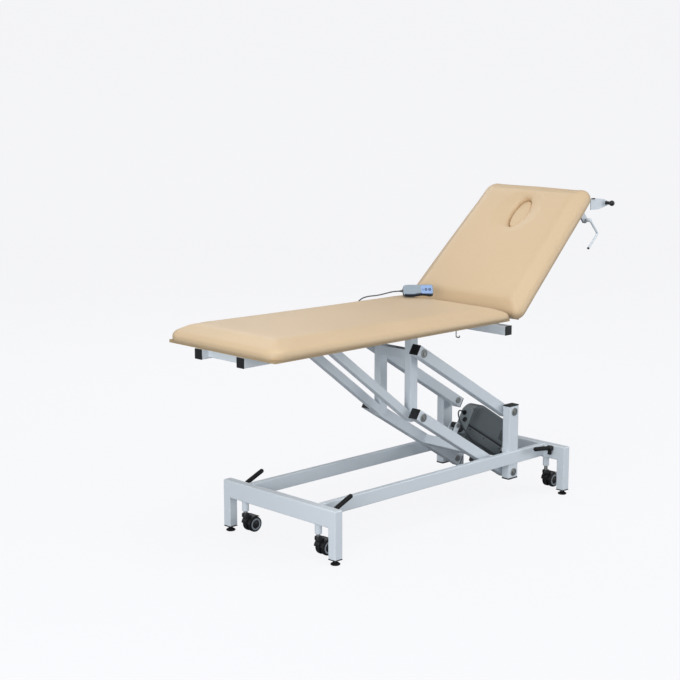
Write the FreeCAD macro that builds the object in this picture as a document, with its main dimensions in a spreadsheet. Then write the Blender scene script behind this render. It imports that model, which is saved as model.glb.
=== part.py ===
import FreeCAD, Part
import math
import os
import re

# Height-adjustable two-section examination couch.
# Frame used for the sizes: X towards the head end, Y across, Z up, floor at z = 0, millimetres.
# Every node is then moved by -x_mid, so that the couch is centred on X = 0.

DIMS = {
    "x_mid": 82.6,
    # base frame
    "base_foot": -650.0, "base_head": 792.6, "base_half": 329.0, "base_top": 217.0,
    "leg": 40.0, "wall": 3.0, "leg_low": 22.0, "foot_beam_low": 145.0, "head_beam_low": 155.0,
    "rail_out": 216.0, "rail_in": 191.0, "rail_low": 162.0,
    "post_x": 515.0, "post_deep": 61.0, "post_in": 173.0, "post_out": 213.0,
    "post_low": 99.0, "post_top": 420.0,
    # parallelogram
    "pivot_x": 545.7, "pivot_low": 124.9, "pivot_high": 394.9, "arm_angle": 31.4, "arm_span": 616.8,
    "arm_in": 114.5, "arm_out": 160.8, "arm_deep": 46.0, "arm_over": 32.0,
    "pin_r": 8.0, "pin_hole": 8.06,
    # upper frame
    "top_pivot_x": 19.23, "top_pivot_low": 446.26, "top_pivot_high": 716.26,
    "upright_x": 0.0, "upright_deep": 43.0, "upright_in": 69.5, "upright_out": 106.0,
    "upright_low": 420.0, "bed_low": 785.0, "bed_tube": 40.0, "bed_in": 102.0,
    "bed_foot": -934.0, "bed_head": 384.0, "strut_angle": 37.5, "strut_tube": 35.0,
    "hinge_x": 466.0, "hinge_z": 806.0, "hinge_beam_low": 750.0, "hinge_beam_half": 246.0,
    # seat
    "seat_foot": -944.0, "seat_head": 402.0, "seat_half": 322.0, "pad_low": 825.0, "pad_thick": 75.0,
    "seat_top_foot": 902.0, "seat_top_head": 882.0, "board_thick": 12.0, "board_inset": 14.0,
    "seat_corner": 70.0, "seat_corner_head": 50.0, "seat_round": 45.0, "low_round": 12.0,
    # backrest, in its own frame: x along it from the hinge, z away from the frame
    "back_angle": 42.5, "back_low": -12.0, "back_tip": 723.0, "back_half_low": 328.0,
    "back_half_tip": 294.0, "back_corner": 60.0, "back_corner_low": 42.0, "back_round": 38.0,
    "back_z": 19.0,
    "hole_x": 540.0, "hole_a": 85.0, "hole_b": 42.0, "plug_gap": 1.5, "hole_sunk": 14.0,
    # lift actuator, in the lower arms' frame
    "drive_perp": 93.0, "drive_rod_at": -232.0, "drive_base_at": 135.0,
    # gas spring under the backrest: its lower pin, and where its rod ends on the back frame
    "spring_x": 492.0, "spring_z": 758.0, "spring_along": 350.0, "spring_off": 30.0,
    # castors, levers, feet
    "castor_y": 215.0, "castor_foot_x": -630.0, "castor_head_x": 772.0, "castor_off": 35.0,
    "castor_z": 43.0, "castor_r": 32.0, "stem_r": 8.0,
    "lever_y": 261.0, "lever_foot_x": -596.0, "lever_foot_z": 196.0, "lever_foot_angle": 23.0,
    "lever_head_x": 739.0, "lever_head_z": 207.0, "lever_head_angle": 7.0, "lever_long": 112.0,
    "foot_r": 19.0,
    # handset
    "set_x": 296.0, "set_y": 128.0, "set_z": 884.9, "set_turn": -37.9, "set_lean": 34.0,
    "set_long": 132.0, "set_tall": 50.0, "set_deep": 24.0,
    # handset cable: its radius, and the coil of its spare length
    "cord_r": 2.75, "coil_x": 300.0, "coil_y": 222.0, "coil_z": 788.0, "coil_r": 30.0,
    "coil_turns": 6.5, "coil_pitch": 5.6,
    "drive_cord_r": 3.0,
}

SIDES = (-1, 1)
DOC = FreeCAD.newDocument("exam_couch")
SHEET = DOC.addObject("Spreadsheet::Sheet", "Dims")
for row, (alias, value) in enumerate(DIMS.items(), 1):
    SHEET.set(f"A{row}", alias)
    SHEET.set(f"B{row}", str(value))
    SHEET.setAlias(f"B{row}", alias)
DOC.recompute()

WORD = re.compile(r"\b[a-z]\w*\b")
NODES = []
NAME_COUNTS = {}


def with_sheet(text):
    """An expression in which each named size is read from the sheet."""
    return WORD.sub(lambda m: "Dims." + m[0] if m[0] in DIMS else m[0], str(text))


def bind(obj, prop, text):
    obj.setExpression(prop, with_sheet(text))


def unique(name):
    NAME_COUNTS[name] = NAME_COUNTS.get(name, 0) + 1
    return f"{name}_{NAME_COUNTS[name]}"


def put(obj, x=0, y=0, z=0, axis=None, angle=None):
    """Place an object, turned about an axis, with bound coordinates."""
    if axis is not None:
        obj.Placement.Rotation = FreeCAD.Rotation(FreeCAD.Vector(*axis), 10)
        bind(obj, ".Placement.Rotation.Angle", angle)
    bind(obj, ".Placement.Base.x", x)
    bind(obj, ".Placement.Base.y", y)
    bind(obj, ".Placement.Base.z", z)
    return obj


def box(x0, x1, y0, y1, z0, z1, name="block"):
    obj = DOC.addObject("Part::Box", unique(name))
    bind(obj, "Length", f"({x1}) - ({x0})")
    bind(obj, "Width", f"({y1}) - ({y0})")
    bind(obj, "Height", f"({z1}) - ({z0})")
    return put(obj, x0, y0, z0)


def side_box(side, x0, x1, inner, outer, z0, z1, name="block"):
    """A box between two distances from the centre plane, on one side."""
    low, high = (inner, outer) if side > 0 else (f"-({outer})", f"-({inner})")
    return box(x0, x1, low, high, z0, z1, name)


TURNS = {"z": None, "y": ((1, 0, 0), -90), "x": ((0, 1, 0), 90)}


def rod(along, radius, x, y, z, length, name="rod"):
    """A cylinder from (x, y, z) along a positive axis."""
    obj = DOC.addObject("Part::Cylinder", unique(name))
    bind(obj, "Radius", radius)
    bind(obj, "Height", length)
    if TURNS[along] is None:
        return put(obj, x, y, z)
    axis, angle = TURNS[along]
    return put(obj, x, y, z, axis, angle)


def side_rod(side, radius, x, inner, outer, z, name="rod"):
    """A cylinder across the couch between two distances from the centre plane."""
    low = inner if side > 0 else f"-({outer})"
    return rod("y", radius, x, low, z, f"({outer}) - ({inner})", name)


def cone(radius_low, radius_high, x, y, z, height, name="cone"):
    obj = DOC.addObject("Part::Cone", unique(name))
    bind(obj, "Radius1", radius_low)
    bind(obj, "Radius2", radius_high)
    bind(obj, "Height", height)
    return put(obj, x, y, z)


def fuse(parts, name="joined"):
    if len(parts) == 1:
        return parts[0]
    obj = DOC.addObject("Part::MultiFuse", unique(name))
    obj.Shapes = parts
    obj.Refine = True
    return obj


def cut(base, tools, name="cut"):
    obj = DOC.addObject("Part::Cut", unique(name))
    obj.Base = base
    obj.Tool = fuse(list(tools), name + "_tools")
    return obj


def rounded(base, picks, radius, name="rounded"):
    """Fillet the edges that the test picks, with a radius from the sheet."""
    DOC.recompute()
    value = DIMS[radius] if isinstance(radius, str) else radius
    edges = []
    for number, edge in enumerate(base.Shape.Edges, 1):
        if picks(edge):
            edges.append((number, value, value))
    obj = DOC.addObject("Part::Fillet", unique(name))
    obj.Base = base
    obj.Edges = edges
    return obj


def node(label, parts, x=0, y=0, z=0, axis=None, angle=None):
    """One named sub-part: its solids together, placed in the couch."""
    obj = DOC.addObject("Part::Compound", "node_" + label)
    obj.Links = list(parts)
    obj.Label = label
    put(obj, f"({x}) - x_mid", y, z, axis, angle)
    NODES.append(obj)
    return obj


def tube(along, x0, x1, y0, y1, z0, z1, wall="wall", name="tube"):
    """A rectangular tube, open at both ends of the named axis."""
    outer = box(x0, x1, y0, y1, z0, z1, name)
    span = {"x": (x0, x1), "y": (y0, y1), "z": (z0, z1)}
    bore = []
    for key in "xyz":
        low, high = span[key]
        if key == along:
            bore += [f"({low}) - 1", f"({high}) + 1"]
        else:
            bore += [f"({low}) + {wall}", f"({high}) - {wall}"]
    return cut(outer, [box(*bore, name=name + "_bore")], name)


def side_tube(side, along, x0, x1, inner, outer, z0, z1, wall="wall", name="tube"):
    low, high = (inner, outer) if side > 0 else (f"-({outer})", f"-({inner})")
    return tube(along, x0, x1, low, high, z0, z1, wall, name)


# ---------------------------------------------------------------- base

def cross_member(x0, x1, low, stem_x):
    """A beam across one end of the base, closed by a plate at each side."""
    beam = tube("y", x0, x1, "wall - base_half", "base_half - wall", low, "base_top")
    holes = [rod("z", 11, stem_x, f"{side} * castor_y", f"{low} - 1", 6) for side in SIDES]
    plates = [side_box(side, x0, x1, "base_half - wall", "base_half", low, "base_top")
              for side in SIDES]
    return [cut(beam, holes)] + plates


def make_cross_members():
    foot = cross_member("base_foot", "base_foot + leg", "foot_beam_low", "castor_foot_x")
    head = cross_member("base_head - leg", "base_head", "head_beam_low", "castor_head_x")
    node("cross_members", foot + head)


def make_legs():
    parts = []
    for x0, low in (("base_foot", "foot_beam_low"), ("base_head - leg", "head_beam_low")):
        for side in SIDES:
            parts.append(side_tube(side, "z", x0, f"{x0} + leg", "base_half - leg", "base_half",
                                   "leg_low", low))
    node("base_legs", parts)


FOOT_CENTRES = (("foot", "base_foot + leg / 2"), ("head", "base_head - leg / 2"))


def make_base_caps():
    """Black closures: a drilled plate under each leg, and both ends of each post."""
    parts = []
    for _, x in FOOT_CENTRES:
        for side in SIDES:
            plate = side_box(side, f"{x} - leg / 2", f"{x} + leg / 2", "base_half - leg",
                             "base_half", "leg_low - 3", "leg_low")
            hole = rod("z", "5.06", x, f"{side} * (base_half - leg / 2)", "leg_low - 4", 6)
            parts.append(cut(plate, [hole]))
    for side in SIDES:
        for low, high in (("post_top", "post_top + 4"), ("post_low - 4", "post_low")):
            parts.append(side_box(side, "post_x - 1", "post_x + post_deep + 1", "post_in - 1",
                                  "post_out + 1", low, high))
    node("base_caps", parts)


def make_base_rails():
    node("base_rails", [side_tube(side, "x", "base_foot + leg", "base_head - leg", "rail_in",
                                  "rail_out", "rail_low", "base_top") for side in SIDES])


def make_posts():
    parts = []
    for side in SIDES:
        post = side_tube(side, "z", "post_x", "post_x + post_deep", "post_in", "post_out",
                         "post_low", "post_top")
        notch = side_box(side, "post_x - 1", "post_x + post_deep + 1", "rail_in", "rail_out + 1",
                         "rail_low", "base_top")
        holes = [side_rod(side, "pin_r + 0.3", "pivot_x", "post_in - 1", "post_out + 1", z)
                 for z in ("pivot_low", "pivot_high")]
        parts.append(cut(post, [notch] + holes))
    node("base_posts", parts)


def make_actuator_mount():
    """Two lugs on the head cross member that carry the actuator's rear pin."""
    x = "(pivot_x + cos(arm_angle) * drive_base_at + sin(arm_angle) * drive_perp)"
    z = "(pivot_low - sin(arm_angle) * drive_base_at + cos(arm_angle) * drive_perp)"
    face = "base_head - leg"
    parts = []
    for side in SIDES:
        arm = side_box(side, f"{x} - 14", face, 24, 30, f"{z} - 14", f"{z} + 14")
        root = side_box(side, f"{face} - 16", face, 24, 30, f"{z} + 14", "base_top - 12")
        parts.append(fuse([arm, root]))
    parts.append(rod("y", 5, x, -24, z, 48))
    node("actuator_mount", parts)


def make_castor_sockets():
    """Guides for the castor stems, and the bracket that carries each lever's shaft."""
    parts = []
    ends = (("castor_foot_x", "foot_beam_low", "base_foot + leg", 1, "lever_foot_x", "lever_foot_z"),
            ("castor_head_x", "head_beam_low", "base_head - leg", -1, "lever_head_x", "lever_head_z"))
    for x, high, face, way, lever_x, lever_z in ends:
        for side in SIDES:
            y = f"{side} * castor_y"
            body = box(f"{x} - 14", f"{x} + 14", f"{y} - 14", f"{y} + 14", f"{high} - 42", high)
            bore = rod("z", "stem_r + 0.06", x, y, f"{high} - 50", 60)
            parts.append(cut(body, [bore]))
            x0, x1 = (face, f"{lever_x} + 8") if way > 0 else (f"{lever_x} - 8", face)
            ear = side_box(side, x0, x1, "lever_y - 26", "lever_y - 14", f"{lever_z} - 10",
                           f"{lever_z} + 10")
            hole = side_rod(side, 5.06, lever_x, "lever_y - 30", "lever_y - 10", lever_z)
            parts.append(cut(ear, [hole]))
    node("castor_sockets", parts)


def bolt(side, x, z, inner, outer, washer_in, washer_out):
    """A pivot pin with a washer at its inner end, and a washer and hex head outside."""
    pieces = [side_rod(side, "pin_r", x, inner, outer, z),
              side_rod(side, 14, x, washer_in[0], washer_in[1], z),
              side_rod(side, 14, x, washer_out[0], washer_out[1], z),
              side_rod(side, 9, x, washer_out[1], f"{washer_out[1]} + 5", z)]
    return fuse(pieces, "bolt")


def make_base_bolts():
    node("base_pivot_bolts", [bolt(side, "pivot_x", z, "arm_in - 4", "post_out + 1",
                                   ("arm_in - 4.5", "arm_in - 0.5"), ("post_out", "post_out + 2"))
                              for z in ("pivot_low", "pivot_high") for side in SIDES])


# ---------------------------------------------------------------- castors, levers, feet

CORNERS = []
for end_name, way_in in (("foot", 1), ("head", -1)):
    for side_name, side_sign in (("near", -1), ("far", 1)):
        CORNERS.append((f"{end_name}_{side_name}", end_name, side_sign, way_in))


def make_castor(tag, end, side):
    x = f"castor_{end}_x"
    y = f"{side} * castor_y"
    high = f"{end}_beam_low"
    node(f"castor_stem_{tag}", [rod("z", "stem_r", 0, 0, 88, f"{high} + 45 - 88")], x, y)
    hub = cut(rod("z", 15, 0, 0, 76, 18), [rod("z", "stem_r + 0.06", 0, 0, 88, 10)])
    web = cut(box(-6, "castor_off + 8", -5, 5, 36, 80), [box(-20, 0, -6, 6, 30, 62)])
    axle = rod("y", 4, "castor_off", -25, "castor_z", 50)
    node(f"castor_yoke_{tag}", [fuse([hub, web, axle])], x, y)
    wheels = []
    for face in SIDES:
        wheel = side_rod(face, "castor_r", "castor_off", 6, 24, "castor_z")
        wheels.append(cut(wheel, [side_rod(face, 4.06, "castor_off", 0, 30, "castor_z")]))
    node(f"castor_wheels_{tag}", wheels, x, y)


def make_lever(tag, end, side, way):
    """A rubber-covered bar on a shaft; its frame has x along the bar, away from the beam."""
    turned_side = side * way
    hub = side_rod(turned_side, 12, 0, -11, 11, 0)
    shaft = side_rod(turned_side, 5, 0, -40, 0, 0)
    bar = rod("x", 5, 0, 0, 0, "lever_long - 10")
    grip = rod("x", 9.5, 16, 0, 0, "lever_long - 16")
    toe = box(-5, 5, -8, 8, -30, 0)
    axis = (0, -1, 0) if way > 0 else (0, 1, 0)
    parts = [fuse([hub, shaft, bar, grip, toe])]
    if way < 0:
        turned = DOC.addObject("Part::Compound", unique("lever_turned"))
        turned.Links = parts
        put(turned, 0, 0, 0, (0, 0, 1), 180)
        parts = [turned]
    node(f"lever_{tag}", parts, f"lever_{end}_x", f"{side} * lever_y", f"lever_{end}_z", axis,
         f"lever_{end}_angle")


def make_levelling_foot(tag, end, side):
    x = dict(FOOT_CENTRES)[end]
    pad = fuse([rod("z", "foot_r", 0, 0, 0, 5), cone("foot_r", 9, 0, 0, 5, 6),
                rod("z", 5, 0, 0, 10, 55)])
    node(f"levelling_foot_{tag}", [pad], x, f"{side} * (base_half - leg / 2)", 0)


# ---------------------------------------------------------------- parallelogram

def arm_pair(label, z):
    """Two tubes side by side, from a pivot on the base to one on the upper frame."""
    parts = []
    for side in SIDES:
        body = side_tube(side, "x", "-arm_span - arm_over", "arm_over", "arm_in", "arm_out",
                         "-arm_deep / 2", "arm_deep / 2")
        holes = [side_rod(side, "pin_hole", x, "arm_in - 1", "arm_out + 1", 0)
                 for x in (0, "-arm_span")]
        parts.append(cut(body, holes))
    node(label, parts, "pivot_x", 0, z, (0, 1, 0), "arm_angle")


def arm_caps():
    caps = []
    for side in SIDES:
        for x0 in ("arm_over", "-arm_span - arm_over - 3"):
            caps.append(side_box(side, x0, f"{x0} + 3", "arm_in - 0.5", "arm_out - 0.5",
                                 "-arm_deep / 2", "arm_deep / 2"))
    return caps


def make_arms():
    arm_pair("lower_arms", "pivot_low")
    arm_pair("upper_arms", "pivot_high")
    node("upper_arm_caps", arm_caps(), "pivot_x", 0, "pivot_high", (0, 1, 0), "arm_angle")
    pin = rod("y", 6, "drive_rod_at", -14, "drive_perp", 28)
    node("lower_arm_fittings", arm_caps() + [pin], "pivot_x", 0, "pivot_low", (0, 1, 0), "arm_angle")
    cross = tube("y", "drive_rod_at - 20", "drive_rod_at + 20", "-arm_in", "arm_in", -20, 20)
    lugs = [side_box(side, "drive_rod_at - 13", "drive_rod_at + 13", 14, 19, 20,
                     "drive_perp + 13") for side in SIDES]
    node("lower_cross_tube", [cross] + lugs, "pivot_x", 0, "pivot_low", (0, 1, 0), "arm_angle")


# ---------------------------------------------------------------- actuator

def make_actuator():
    place = ("pivot_x", 0, "pivot_low", (0, 1, 0), "arm_angle")
    eye = cut(rod("y", 13, "drive_rod_at", -11, "drive_perp", 22),
              [rod("y", 6.06, "drive_rod_at", -12, "drive_perp", 24)])
    bar = rod("x", 10, "drive_rod_at + 11", 0, "drive_perp", 250)
    node("actuator_rod", [fuse([eye, bar])], *place)
    hull = box(-186, "drive_base_at - 50", -38, 38, 68, 232)
    shaped = rounded(hull, lambda e: e.BoundBox.YLength > 70 and e.BoundBox.ZMin > 200, 60)
    shaped = rounded(shaped, lambda e: abs(e.BoundBox.YLength) < 0.01 and e.BoundBox.ZMax > 100, 12)
    bore = rod("x", 17.06, "-190", 0, "drive_perp", 400)
    node("actuator_housing", [cut(shaped, [bore])], *place)
    sleeve = cut(rod("x", 17, "-194", 0, "drive_perp", 296),
                 [rod("x", 10.06, "-195", 0, "drive_perp", 250)])
    rear = box(101, "drive_base_at", -16, 16, "drive_perp - 14", "drive_perp + 14")
    boss = rod("y", 14, "drive_base_at", -16, "drive_perp", 32)
    hole = rod("y", 8.6, "drive_base_at", -17, "drive_perp", 34)
    node("actuator_tube", [cut(fuse([sleeve, rear, boss]), [hole])], *place)


# ---------------------------------------------------------------- upper frame

def make_uprights():
    parts = []
    for side in SIDES:
        body = side_tube(side, "z", "upright_x", "upright_x + upright_deep", "upright_in",
                         "upright_out", "upright_low", "bed_low")
        parts.append(body)
    node("frame_uprights", parts)


def make_struts():
    """Braces from the feet of the uprights up to the bed rails, cut flush at both ends."""
    parts = []
    for side in SIDES:
        brace = side_box(side, -800, 100, "upright_in", "upright_in + strut_tube",
                         "-strut_tube / 2", "strut_tube / 2")
        core = side_box(side, -801, 101, "upright_in + wall", "upright_in + strut_tube - wall",
                        "wall - strut_tube / 2", "strut_tube / 2 - wall")
        hollow = cut(brace, [core])
        turned = DOC.addObject("Part::Compound", unique("brace"))
        turned.Links = [hollow]
        put(turned, "upright_x", 0, "upright_low + 26", (0, 1, 0), "strut_angle")
        room = box(-700, "upright_x", -150, 150, "upright_low", "bed_low")
        trimmed = DOC.addObject("Part::Common", unique("brace_trimmed"))
        trimmed.Base = turned
        trimmed.Tool = room
        parts.append(trimmed)
    node("frame_struts", parts)


def make_bed():
    top = "bed_low + bed_tube"
    node("bed_rails", [side_tube(side, "x", "bed_foot", "bed_head", "bed_in", "bed_in + bed_tube",
                                 "bed_low", top) for side in SIDES])
    cross = [tube("y", x, f"{x} + 30", "-bed_in", "bed_in", "bed_low + 5", "bed_low + 35")
             for x in (-900, -440, 250)]
    cross.append(tube("y", "upright_x + 2", "upright_x + 41", "-upright_in", "upright_in", 685, 724))
    cross.append(tube("y", "hinge_x - 34", "hinge_x + 6", "-hinge_beam_half", "hinge_beam_half",
                      "hinge_beam_low", "hinge_beam_low + 40"))
    node("frame_cross_tubes", cross)
    caps = []
    for side in SIDES:
        for x0 in ("bed_foot - 4", "bed_head"):
            caps.append(side_box(side, x0, f"{x0} + 4", "bed_in - 0.5", "bed_in + bed_tube",
                                 "bed_low - 0.5", "bed_low + bed_tube - 0.5"))
        caps.append(side_box(side, "hinge_x - 34.5", "hinge_x + 6.5", "hinge_beam_half",
                             "hinge_beam_half + 4", "hinge_beam_low - 0.5", "hinge_beam_low + 40"))
    node("frame_caps", caps)


def make_hinge_plates():
    """Side plates that carry the hinge beam and the backrest pins, and the gas spring's lugs."""
    parts = []
    for side in SIDES:
        low = side_box(side, 320, "hinge_x", "bed_in + bed_tube", "bed_in + bed_tube + 7",
                       "hinge_beam_low + 40", "hinge_beam_low + 49")
        high = side_box(side, 320, "bed_head", "bed_in + bed_tube", "bed_in + bed_tube + 7",
                        "hinge_beam_low + 49", "bed_low + bed_tube - 1")
        lug = side_rod(side, 15, "hinge_x", "bed_in + bed_tube", "bed_in + bed_tube + 7", "hinge_z")
        parts.append(fuse([low, high, lug]))
        parts.append(side_box(side, "hinge_x + 6", "spring_x + 12", 13, 18, "spring_z - 12",
                              "spring_z + 12"))
    node("hinge_plates", parts)


def make_frame_bolts():
    parts = [bolt(side, "top_pivot_x", z, "upright_out", "arm_out + 4",
                  ("upright_out", "arm_in - 0.5"), ("arm_out + 0.5", "arm_out + 2.5"))
             for z in ("top_pivot_low", "top_pivot_high") for side in SIDES]
    for side in SIDES:
        parts.append(side_rod(side, 6, "hinge_x", "bed_in + bed_tube + 7", "bed_in + bed_tube + 40",
                              "hinge_z"))
    parts.append(rod("y", 5, "spring_x", -13, "spring_z", 26))
    node("frame_bolts", parts)


def tapered_slab(low, tip, half_low, half_tip, z0, z1, z1_tip):
    """A slab along x whose half width and top go from one size to another."""
    wedge = DOC.addObject("Part::Wedge", unique("taper"))
    values = {"Ymin": low, "Ymax": tip, "Xmin": f"-({half_low})", "Xmax": half_low,
              "X2min": f"-({half_tip})", "X2max": half_tip, "Zmin": z0, "Zmax": z1,
              "Z2min": z0, "Z2max": z1_tip}
    for prop, text in values.items():
        bind(wedge, prop, text)
    wedge.Placement.Rotation = FreeCAD.Rotation(FreeCAD.Vector(0, 0, 1), -90)
    return wedge


def pad_solid(slab, low, corners, top_round):
    """Round a slab's upright corners, then the broad rim of its top and the small one below."""
    shape = slab
    for at_x, radius in corners:
        shape = rounded(shape, lambda e: upright_edge(e, DIMS[at_x]), radius)
    shape = rounded(shape, lambda e: e.BoundBox.ZMin > DIMS[low] + 40, top_round)
    return rounded(shape, lambda e: e.BoundBox.ZMax < DIMS[low] + 1, "low_round")


def upright_edge(edge, at_x):
    box_of = edge.BoundBox
    return box_of.ZLength > 40 and abs(box_of.XMin - at_x) < 3 and box_of.XLength < 1


def make_seat():
    slab = tapered_slab("seat_foot", "seat_head", "seat_half", "seat_half", "pad_low",
                        "seat_top_foot", "seat_top_head")
    shape = pad_solid(slab, "pad_low", [("seat_foot", "seat_corner"),
                                        ("seat_head", "seat_corner_head")], "seat_round")
    outline = ("seat_foot + board_inset", "seat_head - board_inset", "board_inset - seat_half",
               "seat_half - board_inset")
    recess = box(*outline, "pad_low - 1", "pad_low + board_thick")
    node("seat_cushion", [cut(shape, [recess])])
    board = box(*[f"{text} + {shift}" for text, shift in zip(outline, (0.5, -0.5, 0.5, -0.5))],
                "pad_low", "pad_low + board_thick - 0.2")
    node("seat_board", [board])


def make_under_seat():
    """A junction box with a cable gland, the clip of the spare cable, and a hook near the front edge."""
    case = box(150, 244, 200, 262, "pad_low - 24", "pad_low")
    gland = rod("x", 5, 243, "coil_y", "coil_z + coil_r", 12)
    gland = cut(fuse([case, gland]),
                [rod("x", "cord_r + 0.3", 235, "coil_y", "coil_z + coil_r", 30)])
    clip = box("coil_x - 8", "coil_x + 8", "coil_y + 6", "coil_y + 30", "pad_low - 3", "pad_low")
    hook = fuse([box(62, 92, -290, -262, "pad_low - 4", "pad_low"),
                 box(74, 80, -288, -282, "pad_low - 30", "pad_low - 4"),
                 box(74, 80, -304, -282, "pad_low - 34", "pad_low - 28")])
    node("under_seat_fittings", [gland, clip, hook])


# ---------------------------------------------------------------- backrest

BACK = ("hinge_x", 0, "hinge_z", (0, -1, 0), "back_angle")


def make_back_frame():
    parts = []
    for side in SIDES:
        side_rail = side_tube(side, "x", -12, 668, 152, 177, "back_z - 25", "back_z", 2)
        hole = side_rod(side, 6.06, 0, 150, 180, 0)
        parts.append(cut(side_rail, [hole]))
    for x in (60, 330, 640):
        parts.append(tube("y", x, f"{x} + 25", -152, 152, "back_z - 25", "back_z", 2))
    for side in SIDES:
        parts.append(side_box(side, "spring_along - 24", "spring_along + 14", 17, 21, "back_z - 58",
                              "back_z - 25"))
    node("back_frame", parts, *BACK)


def make_back_pad():
    """A tapering padded slab with an oval opening near its tip, and the board behind it."""
    def oval(major, minor, z0, z1):
        curve = DOC.addObject("Part::Ellipse", unique("oval"))
        bind(curve, "MajorRadius", major)
        bind(curve, "MinorRadius", minor)
        put(curve, "hole_x", 0, z0)
        solid = DOC.addObject("Part::Extrusion", unique("oval_solid"))
        solid.Base = curve
        solid.DirMode = "Normal"
        solid.Solid = True
        bind(solid, "LengthFwd", f"({z1}) - ({z0})")
        return solid

    top = "back_z + pad_thick"
    body = tapered_slab("back_low", "back_tip", "back_half_low", "back_half_tip", "back_z", top, top)
    shape = pad_solid(body, "back_z", [("back_tip", "back_corner"), ("back_low", "back_corner_low")],
                      "back_round")
    board_top = "back_z + board_thick"
    recess = tapered_slab("back_low + board_inset", "back_tip - board_inset",
                          "back_half_low - board_inset - 14", "back_half_tip - board_inset - 14",
                          "back_z - 1", board_top, board_top)
    opening = oval("hole_a", "hole_b", "back_z - 2", "back_z + pad_thick + 2")
    node("back_cushion", [cut(shape, [recess, opening])], *BACK)
    board = tapered_slab("back_low + board_inset + 0.5", "back_tip - board_inset - 0.5",
                         "back_half_low - board_inset - 14.5", "back_half_tip - board_inset - 14.5",
                         "back_z", board_top + " - 0.2", board_top + " - 0.2")
    node("back_board", [cut(board, [oval("hole_a + 1", "hole_b + 1", "back_z - 3", "back_z + 20")])],
         *BACK)
    plug = oval("hole_a - plug_gap", "hole_b - plug_gap", "back_z + 4", "back_z + pad_thick - hole_sunk")
    node("face_plug", [plug], *BACK)


def make_back_fittings():
    """The release lever with its bracket, and the paper-roll arms with their spindle."""
    lever_x = "back_tip - 96"
    bracket = [box(f"{lever_x} - 14", f"{lever_x} + 14", -262, -250, -50, "back_z")]
    bracket = [cut(bracket[0], [rod("y", 6.06, lever_x, -270, -34, 40)])]
    for side in SIDES:
        arm = side_box(side, 0, 128, 262, 266, -24, 24)
        turned = DOC.addObject("Part::Compound", unique("roll_arm"))
        turned.Links = [cut(arm, [side_rod(side, 5.06, 112, 250, 280, 0)])]
        put(turned, "back_tip - 30", 0, -6, (0, 1, 0), 42)
        foot = side_box(side, "back_tip - 70", "back_tip - 18", 246, 262, 9, "back_z")
        parts_of_arm = fuse([turned, foot])
        bracket.append(parts_of_arm)
    node("roll_brackets", bracket, *BACK)
    shaft = rod("y", 5, 0, -292, 0, 584)
    collars = [side_rod(side, 8, 0, 254, 261, 0) for side in SIDES]
    knobs = []
    for side in SIDES:
        ball = DOC.addObject("Part::Sphere", unique("knob"))
        ball.Radius = 12.5
        put(ball, 0, f"{side} * 297", 0)
        knobs += [ball, side_rod(side, 8, 0, 268, 290, 0)]
    turn_x = "back_tip - 30 + cos(42) * 112"
    turn_z = "-6 - sin(42) * 112"
    spindle = DOC.addObject("Part::Compound", unique("spindle_placed"))
    spindle.Links = [fuse([shaft] + collars + knobs)]
    put(spindle, turn_x, 0, turn_z)
    node("roll_spindle", [spindle], *BACK)
    pieces = [rod("y", 6, 0, -292, 0, 48), rod("y", 9, 0, -292, 0, 20),
              box(-6, 6, -292, -280, -80, 0), box(-88, 6, -292, -280, -92, -80)]
    handle = DOC.addObject("Part::Compound", unique("handle_placed"))
    handle.Links = [fuse(pieces)]
    put(handle, lever_x, 0, -34)
    node("release_lever", [handle], *BACK)


def make_gas_spring():
    """A cylinder pinned under the hinge beam, and a rod that ends behind the backrest."""
    x0, z0 = "spring_x", "spring_z"
    x1 = "(hinge_x + cos(back_angle) * spring_along + sin(back_angle) * spring_off)"
    z1 = "(hinge_z + sin(back_angle) * spring_along - cos(back_angle) * spring_off)"
    reach = f"sqrt(({x1} - {x0}) ^ 2 + ({z1} - {z0}) ^ 2)"
    tilt = f"atan2({z1} - {z0}; {x1} - {x0})"
    eye = cut(rod("y", 11, 0, -8, 0, 16), [rod("y", 5.06, 0, -9, 0, 18)])
    barrel = cut(rod("x", 12, 9, 0, 0, 281), [rod("x", 5.06, 40, 0, 0, 260)])
    node("gas_spring_cylinder", [fuse([eye, barrel])], x0, 0, z0, (0, -1, 0), tilt)
    piston = fuse([rod("x", 5, 84, 0, 0, f"{reach} - 94"), rod("y", 11, reach, -8, 0, 16)])
    node("gas_spring_rod", [piston], x0, 0, z0, (0, -1, 0), tilt)


# ---------------------------------------------------------------- handset and cord

def make_handset():
    """A hand control on its long edge, leaning back on its hook; x runs along it."""
    body = box("-set_long / 2", "set_long / 2", 0, "set_deep", 0, "set_tall")
    body = rounded(body, lambda e: e.BoundBox.XLength > 100, 5)
    holes = []
    keys = (("up_button", 34.0), ("down_button", 50.0))
    for _, x in keys:
        holes.append(rod("y", 6.1, x, -1, "set_tall / 2", 9))
    body = cut(body, holes)
    strain = rod("x", 5, "-set_long / 2 - 14", "set_deep / 2", "set_tall / 2", 16)
    strain = cut(strain, [rod("x", "cord_r + 0.3", "-set_long / 2 - 16", "set_deep / 2",
                              "set_tall / 2", 12)])
    groups = [("handset_body", [fuse([body, strain])])]
    for label, x in keys:
        groups.append((label, [rod("y", 6, x, -2.5, "set_tall / 2", 8)]))
    for label, parts in groups:
        leaning = DOC.addObject("Part::Compound", unique("leaning"))
        leaning.Links = parts
        put(leaning, 0, 0, 0, (1, 0, 0), "-set_lean")
        turned = DOC.addObject("Part::Compound", unique("turned"))
        turned.Links = [leaning]
        put(turned, 0, 0, 0, (0, 0, 1), "set_turn")
        node(label, [turned], "set_x", "set_y", "set_z + set_deep * sin(set_lean)")


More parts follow.
